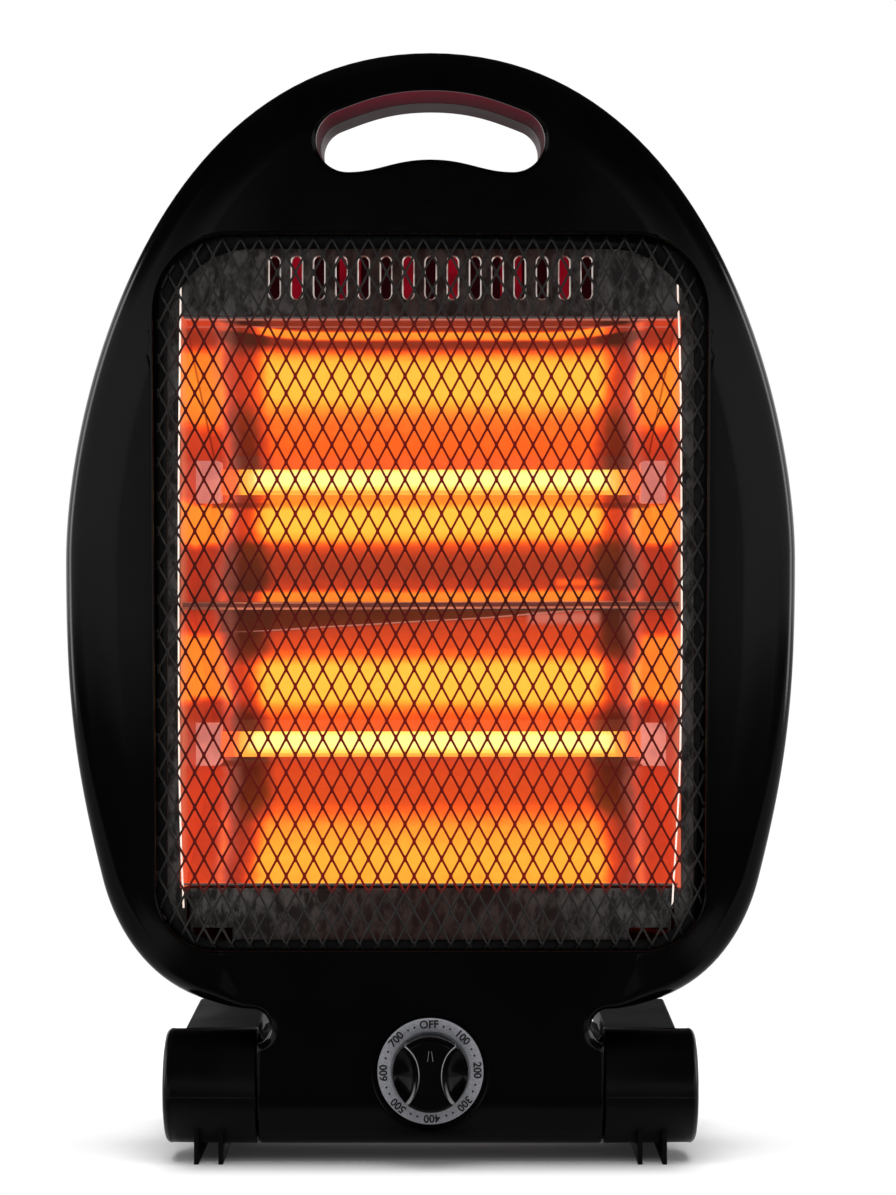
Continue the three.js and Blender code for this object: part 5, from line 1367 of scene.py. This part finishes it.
def floor_paint():
    """Pale floor that keeps the heater's shadow and turns into the white backdrop further out."""
    n = Nodes("pale_floor")
    x, y, z = n.axes()
    ax = abs(x)
    glossy, through, camera_ray = n.rays("Glossy", "Transmission", "Camera")
    mirror = n.most(glossy, through)
    seen = n.most(mirror, camera_ray)
    # in front of the heater the studio is dark, so its face mirrors little of the floor
    beside = n.span(ax, 0.14, 0.24) * n.span(y, -0.5, -0.3)
    ahead = mirror * n.span(y, -0.1, -0.02, 1, 0) * (1.0 - beside)
    # painted shadow: the floor's colour is darkened in a band in front of the neck, so that the shadow fades out slowly
    painted_shadow = n.span(y, -0.08, -0.054) * n.span(y, -0.048, -0.041, 1, 0) * n.span(ax, 0.085, 0.11, 1, 0)
    pale = n.mix(painted_shadow, (0.9, 0.9, 0.9), (0.34, 0.34, 0.34))
    diffuse = n.put("BsdfDiffuse", Color=n.mix(ahead, pale, (0.04, 0.04, 0.04)))
    near = n.put("AddShader", diffuse, n.put("Emission", Strength=FLOOR_LIFT))
    white = n.put("Emission", Strength=1.0 - mirror * 0.55)
    away = n.most(n.span(ax, 0.1, 0.17), n.span(y, 0.12, 0.5), n.span(y, -0.105, -0.03, 1, 0))
    backdrop = n.put("MixShader", away, near, white)
    n.feed(n.put("MixShader", n.math("SUBTRACT", seen, ahead, clamp=True), diffuse, backdrop), n.out)
    return n.owner


def backdrop_world():
    """White for the camera; what shines sees a dimmer backdrop, two screens at the sides and a dark room in front."""
    n = Nodes("studio", world=True)
    bpy.context.scene.world = n.owner
    x, y, z = n.axes()
    glossy, through, camera_ray = n.rays("Glossy", "Transmission", "Camera")
    mirror = n.most(glossy, through)
    behind = n.span(y, -0.1, 0.3, 0.0, 0.4) * n.span(z, 0.02, 0.4, 1.0, 0.05)
    # white screens to the left and right, seen in the sides of the glossy face
    across = abs(x)
    spread = across * 0.35
    screens = n.span(across, 0.07, 0.1) * n.span(z - spread, 0.06, 0.16, 1.2, 0.0) * n.span(z + spread, -0.1, 0.0)
    shone = mirror * n.most(behind, screens, 0.02) + (1.0 - mirror) * 0.25
    n.feed(n.put("Background", (1, 1, 1), n.most(camera_ray, shone)), n.out)


def lamp(name, location, target, size, power, size_y=None, mirrored=True):
    data = bpy.data.lights.new(name, "AREA")
    data.shape = "RECTANGLE"
    data.size = size
    data.size_y = size_y or size
    data.energy = power
    obj = link(bpy.data.objects.new(name, data))
    obj.location = location
    obj.rotation_euler = (Vector(target) - Vector(location)).to_track_quat("-Z", "Y").to_euler()
    obj.visible_glossy = mirrored


floor = mesh_object("floor", [(-6, -6, 0), (6, -6, 0), (6, 6, 0), (-6, 6, 0)], [(0, 1, 2, 3)], local=True)
paint(floor, floor_paint())
backdrop_world()
lamp("top", (0, -0.3, 2.4), (0, 0, 0), 2.2, 96, mirrored=False)
for side, label in ((-1, "left"), (1, "right")):
    lamp(f"{label}_side", (side * 1.6, 0.3, 0.5), (0, 0, 0.2), 0.4, 8, 1.2)

bpy.context.scene.view_settings.view_transform = "Standard"
